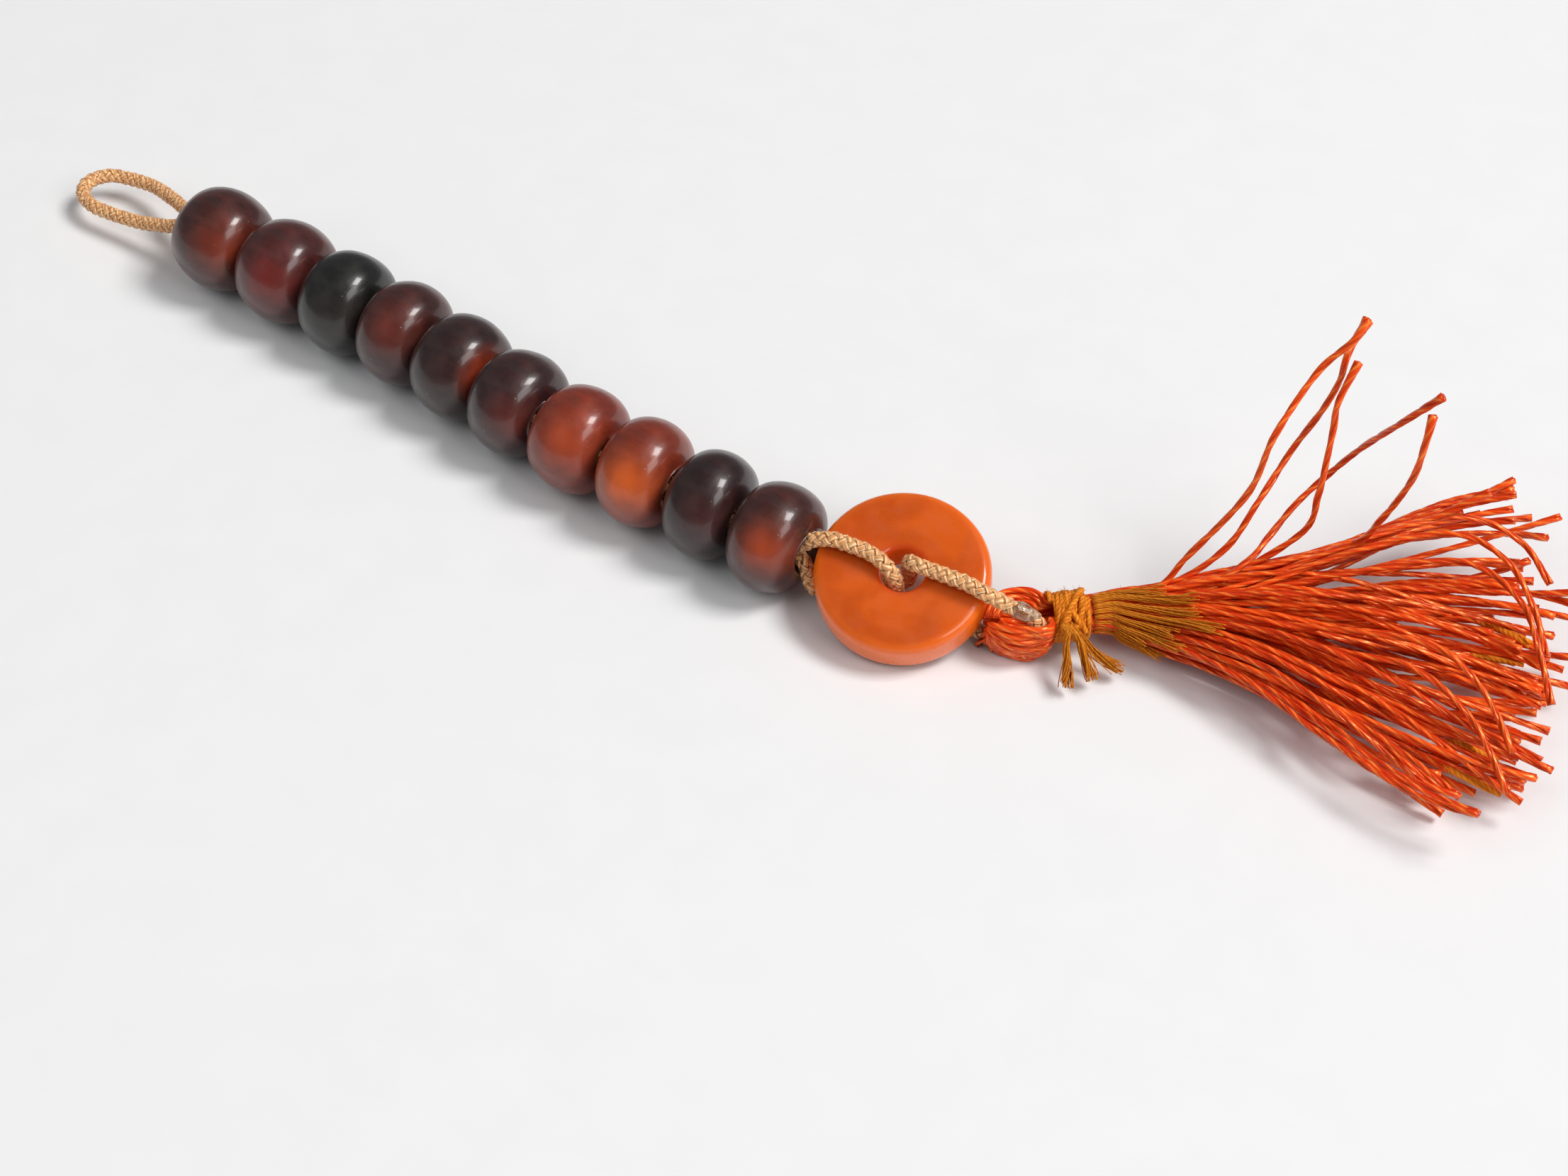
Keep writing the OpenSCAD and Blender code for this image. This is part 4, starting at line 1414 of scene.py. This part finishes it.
    def seal(self) -> None:
        """Shiny melted bead where the cord's two ends are joined."""
        OpsPiece.start()
        bpy.ops.mesh.primitive_uv_sphere_add(segments=32, ring_count=20, radius=self.seal_radius,
                                             location=(0, 0, 0))
        obj = bpy.context.object
        obj.name = obj.data.name = "melted_joint"
        bpy.ops.object.mode_set(mode="EDIT")
        bpy.ops.mesh.select_all(action="SELECT")
        bpy.ops.transform.resize(value=(1.75, 0.98, 0.95))
        bpy.ops.object.mode_set(mode="OBJECT")
        bpy.ops.object.shade_smooth()
        OpsPiece.roughen(obj, self.seal_radius, 0.00022, 0.02)
        spot = self.layout.from_eye(np.add(BIGHT_EYE[1], BIGHT_EYE[2]) / 2) + np.array((0.1, 0.05, 0.02))
        turn = Euler((0, math.radians(24), math.radians(24))).to_matrix().to_4x4()
        OpsPiece.place(obj, Matrix.Translation(Vector(spot) * MM) @ turn)
        obj.data.materials.clear()
        obj.data.materials.append(self.melt)
        finish_piece(obj, Slot.MELT, "cord_seal")
        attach(obj, "cord_end")

    def build(self) -> None:
        """Makes all the head's pieces."""
        self.eye()
        self.wraps()
        self.loose_ends()
        self.seal()


# Rows of the skirt's fan: shares of its length, width and height
SKIRT_ROWS = np.array([
    (-0.05, 0.09, 0.34), (0, 0.117, 0.42), (0.1, 0.19, 0.56), (0.2, 0.28, 0.74), (0.38, 0.45, 0.9),
    (0.56, 0.62, 0.98), (0.74, 0.78, 1), (0.88, 0.91, 0.96), (1.05, 1, 0.84)])
# Ends of the skirt's bunches, from its far side to its near side: length, across and up from its root
TIPS = [
    (22.2, 11.4, 2.85), (23.9, 10.0, 3.7), (25.1, 9.5, 2.9), (25.6, 6.4, 1.9), (26.4, 4.7, 1.4),
    (25.5, 2.6, 0.9), (27.0, 0.7, 0.9), (26.1, 0.1, 0.0), (26.9, -1.1, -0.8), (25.5, -3.8, -0.9),
    (26.1, -6.9, 0.0), (25.6, -7.6, 0.0), (24.0, -8.0, -0.9), (22.2, -9.4, -0.1), (22.9, -12.2, 1.2)]
# Threads that arch over the others near the tips: length along the skirt, across it and up
ARCHES = [
    [(5, 0.5, 1.6), (14, 2.5, 4.0), (20, 3.5, 5.2), (23.5, 1.5, 4.8), (25, -1.5, 3.6), (26, -4, 2.2)],
    [(5, 0, 1.6), (13, 3.5, 4.2), (19, 5.5, 5.4), (22.5, 4.5, 5), (24.5, 2, 3.8), (25.5, -0.5, 2.6)],
    [(5, -0.8, 1.4), (14, -2, 3.6), (19, -3, 4.4), (22, -5, 3.4), (24, -8, 2)],
    [(6, 1, 2), (15, 5.5, 4.4), (20, 7.5, 5), (23.5, 7, 4.2), (25.5, 4.8, 3.2)],
    [(6, -1.2, 1.6), (14, -3.2, 3), (18, -4.2, 3.6), (21.5, -6.5, 2.6), (24, -10, 0.8)]]


# Tufts of binding thread over the skirt's root: angle round it from the top, and length
TUFTS = (
    (-104, 3.6), (-84, 2.6), (-70, 5.0), (-54, 4.4), (-38, 7.0), (-24, 5.6), (-6, 5.2), (8, 3.2))
# Threads of the skirt whose tips are yellow
YELLOW_TIPPED = (9, 22, 33, 47, 61)


@dataclass
class TasselSkirt:
    """Skirt of twisted threads, the yellow tails on it and the threads that spring out."""

    layout: Layout
    orange: bpy.types.Material
    yellow: bpy.types.Material
    threads: int = 88
    yellow_points: int = 9
    seed: int = 23

    def __post_init__(self) -> None:
        """Starts the source of the threads' places."""
        self.rng = np.random.default_rng(self.seed)

    def section(self, s: float) -> tuple:
        """Half width, half height and middle height of the fan at a length along it."""
        share = s / SKIRT_LEN
        half_w = np.interp(share, SKIRT_ROWS[:, 0], SKIRT_ROWS[:, 1]) * SKIRT_W / 2
        half_h = np.interp(share, SKIRT_ROWS[:, 0], SKIRT_ROWS[:, 2]) * SKIRT_H / 2
        floor = FLOOR - self.layout.root[2]
        return half_w, half_h, max(0.0, floor + half_h)

    def start_point(self, a: float, b: float) -> np.ndarray:
        """Point inside the binding for a thread at shares a and b of the neck."""
        lay = self.layout
        return lay.root - 2.6 * lay.head + 0.95 * a * lay.head_side + np.array((0, 0, 0.95 * b))

    def thread_curve(self, a: float, b: float, length: float) -> np.ndarray:
        """Route of one thread: with its neighbours at first, then in a bunch of its own.

        Args:
            a: share of the fan's half width, at the root.
            b: share of the fan's half height, at the root.
            length: its length along the fan.

        Returns:
            The thread's middle line.
        """
        lay = self.layout
        route = [self.start_point(a, b)]
        rank = 0.5 * (1 - a) + 0.07 * self.rng.standard_normal()
        tip = np.array(TIPS[int(min(max(rank, 0), 0.999) * len(TIPS))], float)
        tip += self.rng.standard_normal(3) * (0.7, 1.1, 0.75)
        tip[0] += length - SKIRT_LEN
        swing = self.rng.random(2) * 6.28
        for s in (0.4, 3, 6, 10, 14, 18, 22, 25, 27):
            half_w, half_h, mid = self.section(s)
            share = s / SKIRT_LEN
            near = np.array((s * (1 - 0.1 * share * a * a), 0.94 * half_w * a, mid + 0.88 * half_h * b))
            pull = min(1.0, max(0.0, (share - 0.3) / 0.7)) ** 1.3
            spot = (1 - pull) * near + pull * tip
            spot[0] = near[0] * (1 - pull) + pull * tip[0] * share
            spot[1] += 1.3 * share * math.sin(6 * share + swing[0]) * (1.05 - share)
            spot[2] = max(spot[2] + 1.2 * share * math.sin(6 * share + swing[1]) * (1.05 - share),
                          FLOOR - lay.root[2] + 0.26)
            route.append(lay.on_skirt(*spot))
        return smooth_curve(route, 0.36)

    def blend(self, obj: bpy.types.Object) -> None:
        """Puts a piece's place into its mesh."""
        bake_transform(obj)

    def skirt(self) -> None:
        """All the threads of the skirt."""
        heaps = {Slot.ORANGE_THREAD: TubeHeap(), Slot.YELLOW_THREAD: TubeHeap()}
        for k in range(self.threads):
            reach = math.sqrt((k + 0.5) / self.threads)
            turn = k * math.pi * (3 - math.sqrt(5))
            a = reach * math.cos(turn) * 1.02
            b = reach * math.sin(turn)
            curve = self.thread_curve(a, b, SKIRT_LEN + self.rng.uniform(-2.0, 0.4))
            cut = self.yellow_points if k in YELLOW_TIPPED else 0
            add_thread(heaps[Slot.ORANGE_THREAD], curve[:len(curve) - cut], self.rng, 0.132, 5.5,
                       flare=1.5)
            if cut:
                add_thread(heaps[Slot.YELLOW_THREAD], curve[-cut - 2:], self.rng, 0.15, 5.5, flare=1.5)
        for route in ARCHES:
            points = [self.start_point(0.2, 0.7)] + [self.layout.on_skirt(*p) for p in route]
            add_thread(heaps[Slot.ORANGE_THREAD], smooth_curve(points, 0.3), self.rng, 0.136, 5.5,
                       flare=1.35)
        obj = heaps[Slot.ORANGE_THREAD].build("skirt_threads", self.orange)
        finish_piece(obj, Slot.ORANGE_THREAD, "tassel_skirt")
        self.blend(obj)
        obj = heaps[Slot.YELLOW_THREAD].build("skirt_threads_yellow", self.yellow)
        finish_piece(obj, Slot.YELLOW_THREAD)
        self.blend(obj)

    def tails(self) -> None:
        """Short tufts of the yellow binding thread that lie over the skirt's root."""
        lay = self.layout
        heap = TubeHeap()
        for degrees, length in TUFTS:
            turn = math.radians(degrees)
            route = [lay.root - back * lay.head + (wide * math.sin(turn)) * lay.head_side
                     + np.array((0, 0, wide * math.cos(turn))) for back, wide in ((1.2, 1.15), (0.1, 1.42))]
            for s in np.linspace(1.0, length, 4):
                half_w, half_h, mid = self.section(s)
                route.append(lay.on_skirt(s, (half_w + 0.08) * math.sin(turn),
                                          mid + (half_h + 0.1) * math.cos(turn)))
            curve = smooth_curve(route, 0.3)
            curve[:, 2] = np.maximum(curve[:, 2], FLOOR + 0.2)
            add_lock(heap, curve, self.rng, 13, 0.14, 0.42, 0.05)
            add_fuzz(heap, curve, np.tile((0.0, 0.0, 1.0), (len(curve), 1)), self.rng, 6, 0.4)
        obj = heap.build("binding_tufts", self.yellow)
        finish_piece(obj, Slot.YELLOW_THREAD, "binding_tails")
        self.blend(obj)

    def strays(self) -> None:
        """Threads that spring up out of the skirt."""
        heap = TubeHeap()
        for route in STRAY_ROUTES:
            points = [self.start_point(0.5, 0.5)] + [self.layout.root + np.array(p) for p in route]
            add_thread(heap, smooth_curve(points, 0.25), self.rng, 0.14, 4.6, sides=8, flare=1.6)
        obj = heap.build("stray_threads", self.orange)
        finish_piece(obj, Slot.ORANGE_THREAD, *[f"stray_thread_{k}" for k in range(1, 7)])
        self.blend(obj)

    def build(self) -> None:
        """Makes all the skirt's pieces."""
        self.skirt()
        self.tails()
        self.strays()


@dataclass(frozen=True)
class MeltFinish:
    """Clear, glossy melted nylon."""

    name: str = "melted_nylon"
    pale: tuple = (0.92, 0.78, 0.58)
    amber: tuple = (0.55, 0.22, 0.07)

    def build(self) -> bpy.types.Material:
        """Makes the material."""
        material, tree, shader = new_material(self.name)
        coords = tree.nodes.new("ShaderNodeTexCoord")
        local = stretch(tree, coords.outputs["Object"], (1 / MM,) * 3)
        cloud = noise(tree, local, 1.6, 3.0, 1.0)
        tree.links.new(mix(tree, span(tree, cloud, 0.4, 0.6), rgba(self.pale), rgba(self.amber)),
                       shader.inputs["Base Color"])
        tree.links.new(maths(tree, "MULTIPLY_ADD", cloud, 0.2, 0.02), shader.inputs["Roughness"])
        shader.inputs["Transmission Weight"].default_value = 0.7
        shader.inputs["Coat Weight"].default_value = 1.0
        shader.inputs["Coat Roughness"].default_value = 0.04
        add_bump(tree, shader, cloud, 0.0003, 0.8)
        return material


@dataclass(frozen=True)
class Lamp:
    """A square area light: direction from the object, side in metres, watts and colour, and whether
    shiny pieces mirror it."""

    name: str
    way: tuple
    size: float
    power: float
    colour: tuple
    mirrored: bool = True


LAMPS = (
    Lamp("lamp", (0.467, 0.282, 0.837), 0.42, 11.2, (1.0, 0.985, 0.97)),
    Lamp("window", (1.2, -0.14, 1.0), 0.6, 4.4, (1.0, 0.99, 0.98)),
    Lamp("fill", (-0.6, -1.0, 1.5), 0.8, 3.4, (0.98, 0.99, 1.0), False))


@dataclass
class Studio:
    """Camera, pale floor and soft light. The eye and the target are in millimetres, the rest in metres."""

    eye: tuple = (133.85, -96.54, 123.03)
    target: tuple = (62.12, -0.80, -1.80)
    lens: float = 63.8
    sensor: float = 36.0
    floor_size: float = 6.0
    lamp_distance: float = 1.2
    lamp_aim: tuple = (0.06, 0, 0)
    room_colour: tuple = (0.93, 0.96, 1.0, 1)
    room_strength: float = 0.17
    paper: tuple = ((0.785, 0.787, 0.790, 1), (0.795, 0.797, 0.800, 1))

    def camera(self) -> None:
        """Sets the camera up."""
        data = bpy.data.cameras.new("camera")
        data.lens = self.lens
        data.sensor_width = self.sensor
        data.clip_start = 0.005
        data.clip_end = 10.0
        obj = bpy.data.objects.new("camera", data)
        obj.location = Vector(self.eye) * MM
        way = (Vector(self.target) - Vector(self.eye)).normalized()
        obj.rotation_euler = way.to_track_quat("-Z", "Y").to_euler()
        bpy.context.collection.objects.link(obj)
        bpy.context.scene.camera = obj

    def floor(self) -> None:
        """Lays a sheet of pale paper."""
        OpsPiece.start()
        bpy.ops.mesh.primitive_plane_add(size=self.floor_size, location=(0, 0, FLOOR * MM))
        obj = bpy.context.object
        obj.name = "table"
        material, tree, shader = new_material("pale_paper")
        coords = tree.nodes.new("ShaderNodeTexCoord")
        local = stretch(tree, coords.outputs["Object"], (1 / MM,) * 3)
        grain = noise(tree, local, 0.25, 6.0)
        tree.links.new(mix(tree, span(tree, grain, 0.35, 0.65), *self.paper), shader.inputs["Base Color"])
        shader.inputs["Roughness"].default_value = 0.75
        shader.inputs["Specular IOR Level"].default_value = 0.25
        obj.data.materials.append(material)

    def light(self, lamp: Lamp) -> None:
        """Adds one lamp, pointed at the object.

        Args:
            lamp: what it is like.
        """
        data = bpy.data.lights.new(lamp.name, "AREA")
        data.size = lamp.size
        data.energy = lamp.power
        data.color = lamp.colour
        obj = bpy.data.objects.new(lamp.name, data)
        aim = Vector(self.lamp_aim)
        obj.location = aim + Vector(lamp.way).normalized() * self.lamp_distance
        obj.visible_glossy = lamp.mirrored
        obj.rotation_euler = (aim - obj.location).to_track_quat("-Z", "Y").to_euler()
        bpy.context.collection.objects.link(obj)

    def build(self) -> None:
        """Sets the scene."""
        self.camera()
        self.floor()
        for lamp in LAMPS:
            self.light(lamp)
        world = bpy.data.worlds.new("room")
        world.use_nodes = True
        background = world.node_tree.nodes["Background"]
        background.inputs[0].default_value = self.room_colour
        background.inputs[1].default_value = self.room_strength
        bpy.context.scene.world = world
        bpy.context.scene.view_settings.view_transform = "Standard"


def main() -> None:
    """Builds the charm in order."""
    logging.basicConfig(level=logging.INFO, format="%(name)s: %(message)s")
    Studio().build()
    layout = Layout()
    effects = Effects()
    orange = ORANGE_FINISH.build(effects)
    yellow = YELLOW_FINISH.build(effects)
    cord = Cord(layout, CORD_FINISH.build(effects))
    cord.loop()
    cord.between_beads()
    cord.crossing()
    BeadRow(layout, effects).build()
    FlatRing(layout, effects).build()
    cord_line = np.vstack(cord.crossing_routes())
    TasselHead(layout, orange, yellow, MeltFinish().build(), cord_line).build()
    TasselSkirt(layout, orange, yellow).build()


if __name__ == "__main__":
    main()
